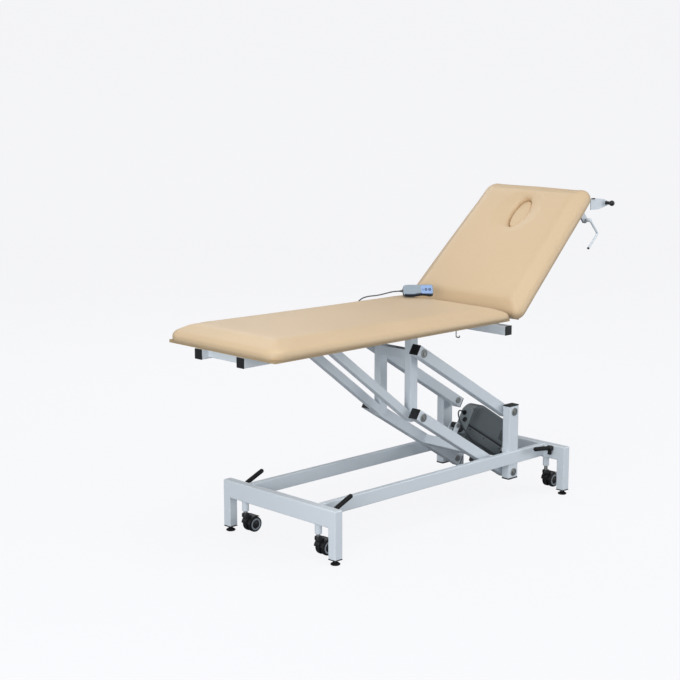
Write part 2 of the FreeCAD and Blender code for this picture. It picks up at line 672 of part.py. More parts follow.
# The cable from the handset over the pad's far edge to the start of its coil, points in millimetres.
CORD_POINTS = (
    (255.5, 189.9, 912.3), (229.5, 210.1, 912.3), (205.0, 233.0, 904.0), (178.0, 262.0, 893.5),
    (152.0, 288.0, 890.5), (136.0, 312.0, 882.0), (127.0, 331.0, 864.0), (123.0, 341.0, 840.0),
    (123.0, 339.0, 816.0), (128.0, 329.0, 792.0), (142.0, 314.0, 771.0), (166.0, 298.0, 760.0),
    (196.0, 283.0, 757.0), (230.0, 270.0, 757.0), (264.0, 261.5, 757.8), (298.0, 258.4, 758.0),
)


def tube_path(points):
    """Straight runs joined by tangent arcs; each arc takes 0.45 of its shorter run."""
    corners = [FreeCAD.Vector(*point) for point in points]
    edges = []
    radii = []
    start = corners[0]
    for before, corner, after in zip(corners, corners[1:], corners[2:]):
        run_in = corner - before
        run_out = after - corner
        reach = 0.45 * min(run_in.Length, run_out.Length)
        half_turn = run_in.getAngle(run_out) / 2
        radius = reach / math.tan(half_turn)
        run_in.normalize()
        run_out.normalize()
        inward = (run_out - run_in).normalize()
        centre = corner + inward * (radius / math.cos(half_turn))
        arc_in = corner - run_in * reach
        arc_out = corner + run_out * reach
        edges.append(Part.LineSegment(start, arc_in).toShape())
        edges.append(Part.Arc(arc_in, centre - inward * radius, arc_out).toShape())
        radii.append(radius)
        start = arc_out
    edges.append(Part.LineSegment(start, corners[-1]).toShape())
    return Part.Wire(edges), radii


# The drive's cable, in the lower arms' frame: out of a socket, round and under the housing, and into it.
DRIVE_CABLE_POINTS = (
    (-186.5, 10.0, 168.0), (-214.0, 10.0, 168.0), (-236.0, 4.0, 159.0), (-246.0, -9.0, 140.0),
    (-240.0, -23.0, 118.0), (-222.0, -35.0, 98.0), (-194.0, -44.0, 82.0), (-156.0, -46.0, 70.0),
    (-110.0, -45.0, 62.0), (-64.0, -42.0, 59.0), (-24.0, -34.0, 58.0), (8.0, -22.0, 57.5),
    (26.0, -10.0, 58.5), (33.0, -5.5, 64.8),
)


def swept(points, radius, name):
    """A round cable of one radius along a path of runs and arcs."""
    path, radii = tube_path(points)
    first = FreeCAD.Vector(*points[0])
    section = Part.Wire(Part.makeCircle(radius, first, FreeCAD.Vector(*points[1]) - first))
    solid = path.makePipeShell([section], True, False)
    run = DOC.addObject("Part::Feature", name)
    run.Shape = solid
    print(name, "radii", [round(value) for value in radii], "length", round(path.Length),
          "section check", round(solid.Volume / (math.pi * radius ** 2 * path.Length), 3))
    return run


def make_cables():
    run = swept(CORD_POINTS, float(SHEET.get("cord_r")), "cord_run")
    tail = rod("x", "cord_r", 235.3, "coil_y", "coil_z + coil_r", "coil_x - 235.3 - 2")
    wide = "coil_turns * coil_pitch"
    ring = cut(rod("y", "coil_r + cord_r", "coil_x", "coil_y - cord_r", "coil_z",
                   f"{wide} + 2 * cord_r"),
               [rod("y", "coil_r - cord_r", "coil_x", "coil_y - 20", "coil_z", f"{wide} + 40")])
    node("handset_cable", [run, tail, ring])
    lead = swept(DRIVE_CABLE_POINTS, float(SHEET.get("drive_cord_r")), "drive_cable_run")
    node("actuator_cable", [lead], "pivot_x", 0, "pivot_low", (0, 1, 0), "arm_angle")


def main():
    make_cross_members()
    make_legs()
    make_base_caps()
    make_base_rails()
    make_posts()
    make_actuator_mount()
    make_castor_sockets()
    make_base_bolts()
    for tag, end, side, way in CORNERS:
        make_castor(tag, end, side)
        make_lever(tag, end, side, way)
        make_levelling_foot(tag, end, side)
    make_arms()
    make_actuator()
    make_uprights()
    make_struts()
    make_bed()
    make_hinge_plates()
    make_frame_bolts()
    make_seat()
    make_under_seat()
    make_back_frame()
    make_back_pad()
    make_back_fittings()
    make_gas_spring()
    make_handset()
    make_cables()


def report_and_write():
    DOC.recompute()
    for obj in DOC.Objects:
        bad = [word for word in obj.State if word in ("Invalid", "Error")]
        if bad:
            raise RuntimeError(f"{obj.Name}: {obj.State}")
    os.makedirs("parts", exist_ok=True)
    total = FreeCAD.BoundBox()
    for obj in NODES:
        if not obj.Shape.isValid():
            raise RuntimeError(f"{obj.Label}: shape is not valid")
        if not obj.Shape.Solids:
            raise RuntimeError(f"{obj.Label}: no solid")
        obj.Shape.exportStep(f"parts/{obj.Label}.step")
        total.add(obj.Shape.BoundBox)
        print(f"{obj.Label:26s} solids {len(obj.Shape.Solids):2d}  volume {obj.Shape.Volume / 1000:9.1f} cm3")
    print("nodes", len(NODES), "box", total)


main()
report_and_write()
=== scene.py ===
import math

import bmesh
import bpy
from mathutils import Matrix, Vector


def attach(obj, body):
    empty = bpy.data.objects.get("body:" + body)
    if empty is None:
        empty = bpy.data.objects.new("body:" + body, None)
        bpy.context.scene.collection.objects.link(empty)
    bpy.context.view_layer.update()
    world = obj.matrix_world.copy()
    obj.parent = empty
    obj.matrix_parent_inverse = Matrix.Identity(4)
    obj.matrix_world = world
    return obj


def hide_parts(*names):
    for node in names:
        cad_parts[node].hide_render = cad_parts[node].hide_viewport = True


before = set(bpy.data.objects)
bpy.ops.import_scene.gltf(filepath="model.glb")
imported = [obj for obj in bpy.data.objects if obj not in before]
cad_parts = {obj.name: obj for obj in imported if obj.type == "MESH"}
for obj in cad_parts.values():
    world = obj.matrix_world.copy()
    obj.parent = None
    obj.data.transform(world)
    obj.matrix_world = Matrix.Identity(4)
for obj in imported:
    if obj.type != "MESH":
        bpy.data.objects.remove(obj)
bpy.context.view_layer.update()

# Shapes are written in millimetres in the couch's own frames: X towards the head end,
# Z up from the floor.
X_MID = 82.6
COUCH = Matrix.Translation((-X_MID / 1000, 0, 0)) @ Matrix.Scale(0.001, 4)
SIDES = (-1, 1)


def turned(x, y, z, *turns):
    """A frame at a point of the couch, turned by (degrees, axis) pairs."""
    place = COUCH @ Matrix.Translation((x, y, z))
    for degrees, axis in turns:
        place = place @ Matrix.Rotation(math.radians(degrees), 4, axis)
    return place


ARM_TURN = 31.4
BACK_TURN = 42.5
ARMS_LOW = turned(545.7, 0, 124.9, (ARM_TURN, "Y"))
ARMS_HIGH = turned(545.7, 0, 394.9, (ARM_TURN, "Y"))
BACK = turned(466, 0, 806, (-BACK_TURN, "Y"))

# ---------------------------------------------------------------- materials


def group(name, outputs, inputs, build):
    """A shared node group; build(tree, group input, group output) wires it."""
    tree = bpy.data.node_groups.new(name, "ShaderNodeTree")
    for label, kind, value in inputs:
        socket = tree.interface.new_socket(label, in_out="INPUT", socket_type=kind)
        socket.default_value = value
    for label, kind in outputs:
        tree.interface.new_socket(label, in_out="OUTPUT", socket_type=kind)
    build(tree, tree.nodes.new("NodeGroupInput"), tree.nodes.new("NodeGroupOutput"))
    return tree


def node(tree, kind, sockets=None, **settings):
    made = tree.nodes.new("ShaderNode" + kind)
    for key, value in settings.items():
        setattr(made, key, value)
    for key, value in (sockets or {}).items():
        if isinstance(value, bpy.types.NodeSocket):
            tree.links.new(value, made.inputs[key])
        else:
            made.inputs[key].default_value = value
    return made


def maths(tree, operation, first, second=0.0, third=0.0):
    return node(tree, "Math", {0: first, 1: second, 2: third}, operation=operation).outputs[0]


def build_tone(tree, start, end):
    """A colour that drifts lighter and darker over the surface."""
    place = node(tree, "TexCoord").outputs["Object"]
    broad = node(tree, "TexNoise", {"Vector": place, "Scale": start.outputs["Scale"], "Detail": 4.0})
    fine = node(tree, "TexNoise", {"Vector": place, "Scale": 140.0, "Detail": 3.0})
    both = maths(tree, "MULTIPLY_ADD", fine.outputs["Fac"], 0.35, broad.outputs["Fac"])
    swing = maths(tree, "MULTIPLY", maths(tree, "SUBTRACT", both, 0.675), start.outputs["Amount"])
    bright = maths(tree, "ADD", swing, 1.0)
    tinted = node(tree, "VectorMath", {0: start.outputs["Colour"]}, operation="SCALE")
    tree.links.new(bright, tinted.inputs["Scale"])
    tree.links.new(tinted.outputs[0], end.inputs["Colour"])
    tree.links.new(both, end.inputs["Mask"])


def build_grain(tree, start, end):
    """A fine raised grain, as on a moulded or powder-coated surface."""
    place = node(tree, "TexCoord").outputs["Object"]
    peel = node(tree, "TexNoise", {"Vector": place, "Scale": start.outputs["Scale"], "Detail": 2.0})
    bump = node(tree, "Bump", {"Height": peel.outputs["Fac"], "Distance": 0.0004,
                               "Strength": start.outputs["Strength"]})
    tree.links.new(bump.outputs[0], end.inputs["Normal"])


def build_hide(tree, start, end):
    """The embossed grain of upholstery vinyl: pebbles parted by creases, and slow waves."""
    place = node(tree, "TexCoord").outputs["Object"]
    warp = node(tree, "TexNoise", {"Vector": place, "Scale": 90.0, "Detail": 2.0})
    shift = node(tree, "VectorMath", {0: warp.outputs["Color"], 1: (0.006, 0.006, 0.006), 2: place},
                 operation="MULTIPLY_ADD")
    pebbles = node(tree, "TexVoronoi", {"Vector": shift.outputs[0], "Scale": 620.0},
                   feature="DISTANCE_TO_EDGE")
    crease = node(tree, "MapRange", {"Value": pebbles.outputs["Distance"], "From Min": 0.0,
                                     "From Max": 0.12})
    wave = node(tree, "TexNoise", {"Vector": place, "Scale": 7.0, "Detail": 3.0})
    coarse = node(tree, "Bump", {"Height": wave.outputs["Fac"], "Distance": 0.004, "Strength": 0.22})
    bump = node(tree, "Bump", {"Height": crease.outputs[0], "Distance": 0.00012, "Strength": 0.8,
                               "Normal": coarse.outputs[0]})
    tree.links.new(bump.outputs[0], end.inputs["Normal"])
    # the crease depth also goes out as the mask that make_vinyl uses to paint shade into the creases
    tree.links.new(crease.outputs[0], end.inputs["Mask"])


COLOUR_OUT = [("Colour", "NodeSocketColor"), ("Mask", "NodeSocketFloat")]
TONE = group("tone", COLOUR_OUT, [("Colour", "NodeSocketColor", (1, 1, 1, 1)),
                                  ("Scale", "NodeSocketFloat", 5.0),
                                  ("Amount", "NodeSocketFloat", 0.1)], build_tone)
GRAIN = group("grain", [("Normal", "NodeSocketVector")],
              [("Scale", "NodeSocketFloat", 900.0), ("Strength", "NodeSocketFloat", 0.2)], build_grain)
HIDE = group("hide", [("Normal", "NodeSocketVector"), ("Mask", "NodeSocketFloat")], [], build_hide)


def shader(name, roughness, metallic=0.0, coat=0.0, sheen=0.0, specular=0.5):
    made = bpy.data.materials.new(name)
    made.use_nodes = True
    shade = made.node_tree.nodes["Principled BSDF"]
    shade.inputs["Roughness"].default_value = roughness
    shade.inputs["Metallic"].default_value = metallic
    shade.inputs["Coat Weight"].default_value = coat
    shade.inputs["Coat Roughness"].default_value = 0.25
    shade.inputs["Sheen Weight"].default_value = sheen
    shade.inputs["Specular IOR Level"].default_value = specular
    return made, made.node_tree, shade


def linear(code):
    """A colour written as hex in sRGB, made linear."""
    values = [int(code[i:i + 2], 16) / 255 for i in (0, 2, 4)]
    return tuple(v / 12.92 if v <= 0.04045 else ((v + 0.055) / 1.055) ** 2.4 for v in values) + (1.0,)


def add_tone(tree, code, scale, amount):
    made = node(tree, "Group", {}, node_tree=TONE)
    made.inputs["Colour"].default_value = linear(code)
    made.inputs["Scale"].default_value = scale
    made.inputs["Amount"].default_value = amount
    return made


def add_grain(tree, scale, strength):
    made = node(tree, "Group", {}, node_tree=GRAIN)
    made.inputs["Scale"].default_value = scale
    made.inputs["Strength"].default_value = strength
    return made


def finish_material(name, code, roughness, tone=(5.0, 0.1), grain=(900.0, 0.2), swing=0.08, **more):
    """A solid-coloured finish whose colour and roughness drift, with a fine grain."""
    made, tree, shade = shader(name, roughness, **more)
    colour = add_tone(tree, code, *tone)
    tree.links.new(colour.outputs["Colour"], shade.inputs["Base Color"])
    rough = maths(tree, "MULTIPLY_ADD", colour.outputs["Mask"], swing, roughness - swing * 0.675)
    tree.links.new(rough, shade.inputs["Roughness"])
    tree.links.new(add_grain(tree, *grain).outputs[0], shade.inputs["Normal"])
    return made


def make_vinyl(name, code):
    made, tree, shade = shader(name, 0.36, sheen=0.08, specular=0.5)
    colour = add_tone(tree, code, 2.2, 0.10)
    hide = node(tree, "Group", {}, node_tree=HIDE)
    # painted shade: the colour is darkened towards 8c7556 in the grain's creases, by the hide group's
    # crease mask
    painted_crease_shade = node(tree, "Mix", {"Factor": maths(tree, "MULTIPLY_ADD", hide.outputs["Mask"], -0.18, 0.18),
                              6: colour.outputs["Colour"], 7: linear("8c7556")}, data_type="RGBA")
    tree.links.new(painted_crease_shade.outputs[2], shade.inputs["Base Color"])
    rough = maths(tree, "MULTIPLY_ADD", colour.outputs["Mask"], 0.14, 0.33)
    tree.links.new(rough, shade.inputs["Roughness"])
    tree.links.new(hide.outputs["Normal"], shade.inputs["Normal"])
    return made


def make_zinc(name):
    """Bright zinc plating with its faint crystal patches."""
    made, tree, shade = shader(name, 0.3, metallic=1.0)
    place = node(tree, "TexCoord").outputs["Object"]
    patches = node(tree, "TexVoronoi", {"Vector": place, "Scale": 260.0})
    colour = node(tree, "Mix", {"Factor": patches.outputs["Distance"], 6: linear("c9ccd0"),
                                7: linear("a9a89c")}, data_type="RGBA")
    tree.links.new(colour.outputs[2], shade.inputs["Base Color"])
    tree.links.new(maths(tree, "MULTIPLY_ADD", patches.outputs["Distance"], 0.25, 0.2),
                   shade.inputs["Roughness"])
    tree.links.new(add_grain(tree, 1800.0, 0.12).outputs[0], shade.inputs["Normal"])
    return made


def make_board(name, place_matrix, half_x, half_low, half_tip, x_mid):
    """Black-stained plywood whose edge is covered by the turned-in, stapled vinyl margin."""
    made, tree, shade = shader(name, 0.75)
    raw = node(tree, "TexCoord").outputs["Object"]
    back = place_matrix.inverted()
    spot = []
    for row in range(3):
        dot = node(tree, "VectorMath", {0: raw, 1: tuple(back[row][:3])}, operation="DOT_PRODUCT")
        spot.append(maths(tree, "ADD", dot.outputs["Value"], back[row][3]))
    along, across = spot[0], spot[1]
    wobble = node(tree, "TexNoise", {"Vector": raw, "Scale": 9.0, "Detail": 3.0}).outputs["Fac"]
    side = maths(tree, "ABSOLUTE", across)
    share = maths(tree, "DIVIDE", maths(tree, "SUBTRACT", along, x_mid - half_x), 2 * half_x)
    limit = maths(tree, "MULTIPLY_ADD", share, half_tip - half_low, half_low)
    from_side = maths(tree, "SUBTRACT", limit, side)
    from_end = maths(tree, "SUBTRACT", half_x, maths(tree, "ABSOLUTE",
                                                     maths(tree, "SUBTRACT", along, x_mid)))
    inset = maths(tree, "MINIMUM", from_side, from_end)
    margin = maths(tree, "LESS_THAN", maths(tree, "MULTIPLY_ADD", wobble, 14.0, inset), 45.0)
    fibres = node(tree, "TexWave", {"Vector": raw, "Scale": 16.0, "Distortion": 9.0, "Detail": 3.0,
                                    "Detail Scale": 2.0}, bands_direction="Y")
    wood = node(tree, "Mix", {"Factor": fibres.outputs["Fac"], 6: linear("1f1d1b"),
                              7: linear("35302b")}, data_type="RGBA")
    run = maths(tree, "ADD", along, across)
    teeth = maths(tree, "LESS_THAN", maths(tree, "FRACT", maths(tree, "DIVIDE", run, 42.0)), 0.2)
    line = maths(tree, "COMPARE", inset, 24.0, 0.9)
    staple = maths(tree, "MULTIPLY", teeth, line)
    colour = node(tree, "Mix", {"Factor": margin, 6: wood.outputs[2], 7: linear("b59c78")},
                  data_type="RGBA")
    colour = node(tree, "Mix", {"Factor": staple, 6: colour.outputs[2], 7: linear("c4c7cb")},
                  data_type="RGBA")
    tree.links.new(colour.outputs[2], shade.inputs["Base Color"])
    tree.links.new(maths(tree, "MULTIPLY_ADD", margin, -0.25, 0.75), shade.inputs["Roughness"])
    height = maths(tree, "ADD", maths(tree, "MULTIPLY", margin, 1.0), staple)
    bump = node(tree, "Bump", {"Height": height, "Distance": 0.0012, "Strength": 0.8})
    tree.links.new(bump.outputs[0], shade.inputs["Normal"])
    return made


def make_rod(name):
    """Hard-chromed rod with fine polishing rings."""
    made, tree, shade = shader(name, 0.14, metallic=1.0)
    colour = add_tone(tree, "d5d8dc", 40.0, 0.06)
    tree.links.new(colour.outputs["Colour"], shade.inputs["Base Color"])
    tree.links.new(maths(tree, "MULTIPLY_ADD", colour.outputs["Mask"], 0.12, 0.08),
                   shade.inputs["Roughness"])
    tree.links.new(add_grain(tree, 3000.0, 0.05).outputs[0], shade.inputs["Normal"])
    return made


MATERIALS = {
    "white_paint": finish_material("white_paint", "e6edf3", 0.34, tone=(4.0, 0.05),
                                   grain=(750.0, 0.10), coat=0.25),
    "black_plastic": finish_material("black_plastic", "1a1b1d", 0.46, tone=(18.0, 0.3),
                                     grain=(1500.0, 0.3)),
    "black_rubber": finish_material("black_rubber", "151516", 0.68, tone=(30.0, 0.4),
                                    grain=(900.0, 0.45), swing=0.2, specular=0.35),
    "zinc": make_zinc("zinc"),
    "housing_grey": finish_material("housing_grey", "5d6467", 0.42, tone=(9.0, 0.15),
                                    grain=(1300.0, 0.35)),
    "panel_grey": finish_material("panel_grey", "8f979a", 0.45, tone=(12.0, 0.12),
                                  grain=(1300.0, 0.3)),
    "chromed_rod": make_rod("chromed_rod"),
    "black_metal": finish_material("black_metal", "1c1d1f", 0.36, tone=(8.0, 0.2),
                                   grain=(800.0, 0.15)),
    "vinyl": make_vinyl("vinyl", "ddc19b"),
    "handset_grey": finish_material("handset_grey", "93a3b0", 0.4, tone=(25.0, 0.1),
                                    grain=(1800.0, 0.25)),
    "handset_navy": finish_material("handset_navy", "1d2f45", 0.5, tone=(25.0, 0.2),
                                    grain=(1500.0, 0.4)),
    "key_panel": finish_material("key_panel", "8fb0e2", 0.35, tone=(30.0, 0.08),
                                 grain=(2200.0, 0.1)),
    "button_blue": finish_material("button_blue", "20305c", 0.38, tone=(60.0, 0.2),
                                   grain=(2000.0, 0.2)),
    "cable_grey": finish_material("cable_grey", "4a4d50", 0.55, tone=(60.0, 0.2),
                                  grain=(1600.0, 0.4)),
    "ring_grey": finish_material("ring_grey", "8b9298", 0.42, tone=(40.0, 0.15),
                                 grain=(1500.0, 0.3)),
}

# ---------------------------------------------------------------- shapes


def block(low, high, r=3.0, seg=3):
    """A box with rounded edges."""
    made = bmesh.new()
    bmesh.ops.create_cube(made, size=1.0)
    for v in made.verts:
        v.co = Vector([(a + b) / 2 + c * (b - a) for a, b, c in zip(low, high, v.co)])
    if r:
        bmesh.ops.bevel(made, geom=made.edges[:], offset=r, segments=seg, profile=0.5,
                        affect="EDGES", clamp_overlap=True)
    return made


def prism(outline, axis, low, high, r=3.0, seg=3):
    """An outline in the plane across an axis, given thickness, with its edges rounded."""
    made = bmesh.new()

    def spot(a, b, c):
        return {"X": (c, a, b), "Y": (a, c, b), "Z": (a, b, c)}[axis]
    rings = [[made.verts.new(spot(a, b, c)) for a, b in outline] for c in (low, high)]
    made.faces.new(rings[0])
    made.faces.new(rings[1][::-1])
    count = len(outline)
    for i in range(count):
        j = (i + 1) % count
        made.faces.new((rings[0][i], rings[0][j], rings[1][j], rings[1][i]))
    bmesh.ops.recalc_face_normals(made, faces=made.faces[:])
    if r:
        sharp = [e for e in made.edges if e.calc_face_angle(0) > math.radians(40)]
        bmesh.ops.bevel(made, geom=sharp, offset=r, segments=seg, profile=0.5, affect="EDGES",
                        clamp_overlap=True)
    return made


def arc(x, y, radius, start, end, steps=8):
    return [(x + radius * math.cos(math.radians(start + (end - start) * i / steps)),
             y + radius * math.sin(math.radians(start + (end - start) * i / steps)))
            for i in range(steps + 1)]


def oval_box(x0, x1, y0, y1, r, steps=8):
    """The outline of a rectangle with round corners."""
    return (arc(x1 - r, y0 + r, r, -90, 0, steps) + arc(x1 - r, y1 - r, r, 0, 90, steps)
            + arc(x0 + r, y1 - r, r, 90, 180, steps) + arc(x0 + r, y0 + r, r, 180, 270, steps))


def lathe(profile, axis="Z", centre=(0, 0, 0), seg=40, squash=1.0):
    """A surface turned about an axis, from (radius, distance along) points."""
    made = bmesh.new()
    rings = []
    for radius, along in profile:
        ring = []
        for i in range(seg if radius > 1e-6 else 1):
            turn = 2 * math.pi * i / seg
            a, b = radius * math.cos(turn), radius * math.sin(turn) * squash
            x, y, z = {"X": (along, a, b), "Y": (b, along, a), "Z": (a, b, along)}[axis]
            ring.append(made.verts.new((x + centre[0], y + centre[1], z + centre[2])))
        rings.append(ring)
    for one, two in zip(rings, rings[1:]):
        for i in range(seg):
            j = (i + 1) % seg
            if len(one) == 1 and len(two) == 1:
                continue
            if len(one) == 1:
                made.faces.new((one[0], two[i], two[j]))
            elif len(two) == 1:
                made.faces.new((one[i], two[0], one[j]))
            else:
                made.faces.new((one[i], two[i], two[j], one[j]))
    bmesh.ops.recalc_face_normals(made, faces=made.faces[:])
    return made


def drum(radius, low, high, edge=1.0, axis="Z", centre=(0, 0, 0), seg=40):
    """A disc or bar with rounded rims."""
    rim = arc(radius - edge, 0, edge, -90, 0, 3)
    profile = [(0, low)] + [(a, low + edge + b) for a, b in rim]
    profile += [(a, high - edge - b) for a, b in rim[::-1]] + [(0, high)]
    return lathe(profile, axis, centre, seg)


def tube(low, high, outer, inner, edge=1.0, axis="Z", centre=(0, 0, 0), seg=40):
    """A ring with chamfered rims."""
    profile = [(inner, low), (outer - edge, low), (outer, low + edge), (outer, high - edge),
               (outer - edge, high), (inner, high), (inner, low)]
    return lathe(profile, axis, centre, seg)


def hexagon(across, low, high, axis="Y", centre=(0, 0, 0), top=1):
    """A hex head, its outer corners turned down."""
    made = bmesh.new()
    radius = across / math.sqrt(3)
    span = high - low
    levels = [(radius, 0.0), (radius, 0.82), (radius * 0.9, 1.0), (radius * 0.3, 1.0),
              (radius * 0.24, 0.9)]
    rings = []
    for size, share in levels:
        along = low + span * share if top > 0 else high - span * share
        ring = []
        for i in range(6):
            a, b = size * math.cos(i * math.pi / 3), size * math.sin(i * math.pi / 3)
            x, y, z = {"X": (along, a, b), "Y": (b, along, a), "Z": (a, b, along)}[axis]
            ring.append(made.verts.new((x + centre[0], y + centre[1], z + centre[2])))
        rings.append(ring)
    for one, two in zip(rings, rings[1:]):
        for i in range(6):
            made.faces.new((one[i], two[i], two[(i + 1) % 6], one[(i + 1) % 6]))
    made.faces.new(rings[0])
    made.faces.new(rings[-1])
    bmesh.ops.recalc_face_normals(made, faces=made.faces[:])
    return made


def wire(points, radius, seg=16, ends=True, round_off=0.0):
    """A round bar through points, its corners rounded by round_off."""
    path = [Vector(p) for p in points]
    if round_off:
        soft = [path[0]]
        for before, here, after in zip(path, path[1:], path[2:]):
            one, two = (before - here).normalized(), (after - here).normalized()
            start, end = here + one * round_off, here + two * round_off
            for i in range(9):
                t = i / 8
                soft.append(start * (1 - t) ** 2 + here * 2 * t * (1 - t) + end * t * t)
        path = soft + [path[-1]]
    made = bmesh.new()
    rings = []
    normal = None
    for i, here in enumerate(path):
        ahead = path[min(i + 1, len(path) - 1)] - path[max(i - 1, 0)]
        ahead.normalize()
        if normal is None:
            normal = ahead.orthogonal().normalized()
        normal = (normal - ahead * normal.dot(ahead)).normalized()
        other = ahead.cross(normal)
        rings.append([made.verts.new(here + (normal * math.cos(2 * math.pi * k / seg)
                                             + other * math.sin(2 * math.pi * k / seg)) * radius)
                      for k in range(seg)])
    for one, two in zip(rings, rings[1:]):
        for k in range(seg):
            made.faces.new((one[k], one[(k + 1) % seg], two[(k + 1) % seg], two[k]))
    if ends:
        made.faces.new(rings[0][::-1])
        made.faces.new(rings[-1])
    bmesh.ops.recalc_face_normals(made, faces=made.faces[:])
    return made


def weld(start, end, size=3.2):
    """A painted fillet weld: a bead with ripples along a joint."""
    start, end = Vector(start), Vector(end)
    count = max(6, int((end - start).length / 2.2))
    made = bmesh.new()
    ahead = (end - start).normalized()
    normal = ahead.orthogonal().normalized()
    other = ahead.cross(normal)
    rings = []
    for i in range(count + 1):
        here = start.lerp(end, i / count)
        swell = size * (0.82 + 0.18 * math.cos(i * math.pi)) * min(1.0, 0.35 + 0.5 * min(i, count - i))
        rings.append([made.verts.new(here + (normal * math.cos(k * math.pi / 4)
                                             + other * math.sin(k * math.pi / 4)) * swell)
                      for k in range(8)])
    for one, two in zip(rings, rings[1:]):
        for k in range(8):
            made.faces.new((one[k], one[(k + 1) % 8], two[(k + 1) % 8], two[k]))
    made.faces.new(rings[0][::-1])
    made.faces.new(rings[-1])
    bmesh.ops.recalc_face_normals(made, faces=made.faces[:])
    return made


class Piece:
    """A mesh gathered from shapes, each put in place and given a material."""

    def __init__(self, name, body, slot, replaces=()):
        self.name, self.body, self.slot, self.replaced = name, body, slot, replaces
        self.verts, self.faces, self.kinds, self.finishes = [], [], [], []

    def add(self, shape, place=COUCH, finish=None):
        finish = finish or self.slot
        if finish not in self.finishes:
            self.finishes.append(finish)
        base = len(self.verts)
        shape.verts.index_update()
        self.verts += [place @ v.co for v in shape.verts]
        for face in shape.faces:
            self.faces.append([base + v.index for v in face.verts])
            self.kinds.append(self.finishes.index(finish))
        shape.free()
        return self

    def make(self, smooth_angle=42, weigh=True):
        mesh = bpy.data.meshes.new(self.name)
        mesh.from_pydata(self.verts, [], self.faces)
        mesh.polygons.foreach_set("material_index", self.kinds)
        mesh.polygons.foreach_set("use_smooth", [True] * len(mesh.polygons))
        mesh.set_sharp_from_angle(angle=math.radians(smooth_angle))
        for finish in self.finishes:
            mesh.materials.append(MATERIALS[finish])
        obj = bpy.data.objects.new(self.name, mesh)
        bpy.context.scene.collection.objects.link(obj)
        if weigh:
            settle(obj, "WEIGHTED_NORMAL", keep_sharp=True, weight=60)
        return enlist(obj, self.body, self.slot, self.replaced)


def settle(obj, kind, **settings):
    """Add a modifier and write its result into the mesh."""
    modifier = obj.modifiers.new(kind.lower(), kind)
    for key, value in settings.items():
        setattr(modifier, key, value)
    seen = obj.evaluated_get(bpy.context.evaluated_depsgraph_get())
    fresh = bpy.data.meshes.new_from_object(seen)
    obj.modifiers.clear()
    old = obj.data
    obj.data = fresh
    fresh.name = obj.name
    bpy.data.meshes.remove(old)


def enlist(obj, body, slot, replaced=()):
    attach(obj, body)
    if replaced:
        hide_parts(*replaced)
    return obj


# ---------------------------------------------------------------- stage, lights, camera


def make_stage():
    """A pale floor that curves up into a backdrop."""
    profile = [(-9.0, 0.0), (9.0, 0.0)] + [(9 + 2 * math.sin(math.radians(a)),
                                            2 - 2 * math.cos(math.radians(a)))
                                           for a in range(10, 91, 10)] + [(11.0, 9.0)]
    facing = Matrix.Rotation(math.radians(-44.4), 4, "Z")
    mesh = bpy.data.meshes.new("floor")
    verts = [facing @ Vector((x, y, z)) for y, z in profile for x in (-16.0, 16.0)]
    faces = [(2 * i, 2 * i + 1, 2 * i + 3, 2 * i + 2) for i in range(len(profile) - 1)]
    mesh.from_pydata(verts, [], faces)
    mesh.polygons.foreach_set("use_smooth", [True] * len(mesh.polygons))
    floor = bpy.data.objects.new("floor", mesh)
    bpy.context.scene.collection.objects.link(floor)
    # bright to look at, but it throws little light up under the couch
    made, tree, shade = shader("floor", 0.9, specular=0.1)
    seen = node(tree, "LightPath").outputs["Is Camera Ray"]
    shade.inputs["Emission Color"].default_value = linear("f8f8fa")
    tree.links.new(maths(tree, "MULTIPLY", seen, 0.93), shade.inputs["Emission Strength"])
    albedo = node(tree, "Mix", {"Factor": seen, 6: linear("7a7c80"), 7: linear("4c4e50")},
                  data_type="RGBA")
    tree.links.new(albedo.outputs[2], shade.inputs["Base Color"])
    mesh.materials.append(made)


def area_light(name, place, aim, size, power, colour=(1, 1, 1)):
    data = bpy.data.lights.new(name, "AREA")
    data.size = size
    data.energy = power
    data.color = colour
    lamp = bpy.data.objects.new(name, data)
    lamp.location = place
    lamp.rotation_mode = "QUATERNION"
    lamp.rotation_quaternion = (Vector(place) - Vector(aim)).to_track_quat("Z", "Y")
    bpy.context.scene.collection.objects.link(lamp)


def make_lights():
    world = bpy.data.worlds.new("studio")
    bpy.context.scene.world = world
    bpy.context.scene.view_settings.view_transform = "Standard"
    world.use_nodes = True
    sky = world.node_tree.nodes["Background"]
    sky.inputs["Color"].default_value = (0.93, 0.96, 1.0, 1)
    sky.inputs["Strength"].default_value = 0.6
    area_light("key", (-1.2, -1.2, 4.6), (0.0, 0.0, 0.5), 2.6, 66)
    area_light("front", (-4.4, -1.6, 0.9), (0.0, 0.0, 0.4), 2.2, 80, (0.95, 0.98, 1.0))
    area_light("side", (3.2, -4.2, 1.6), (0.2, 0.0, 0.4), 2.0, 62, (0.95, 0.98, 1.0))
    area_light("back", (1.8, 3.6, 3.4), (0.1, 0.0, 0.6), 2.4, 34)


def make_camera():
    data = bpy.data.cameras.new("camera")
    data.lens = 83.4
    data.sensor_width = 36.0
    data.shift_x = -0.0084
    data.shift_y = 0.0068
    camera = bpy.data.objects.new("camera", data)
    camera.location = (-4.7316, -4.4698, 1.9412)
    camera.rotation_euler = (math.radians(79.4), 0, math.radians(-44.4))
    bpy.context.scene.collection.objects.link(camera)
    bpy.context.scene.camera = camera


# ---------------------------------------------------------------- handset cable

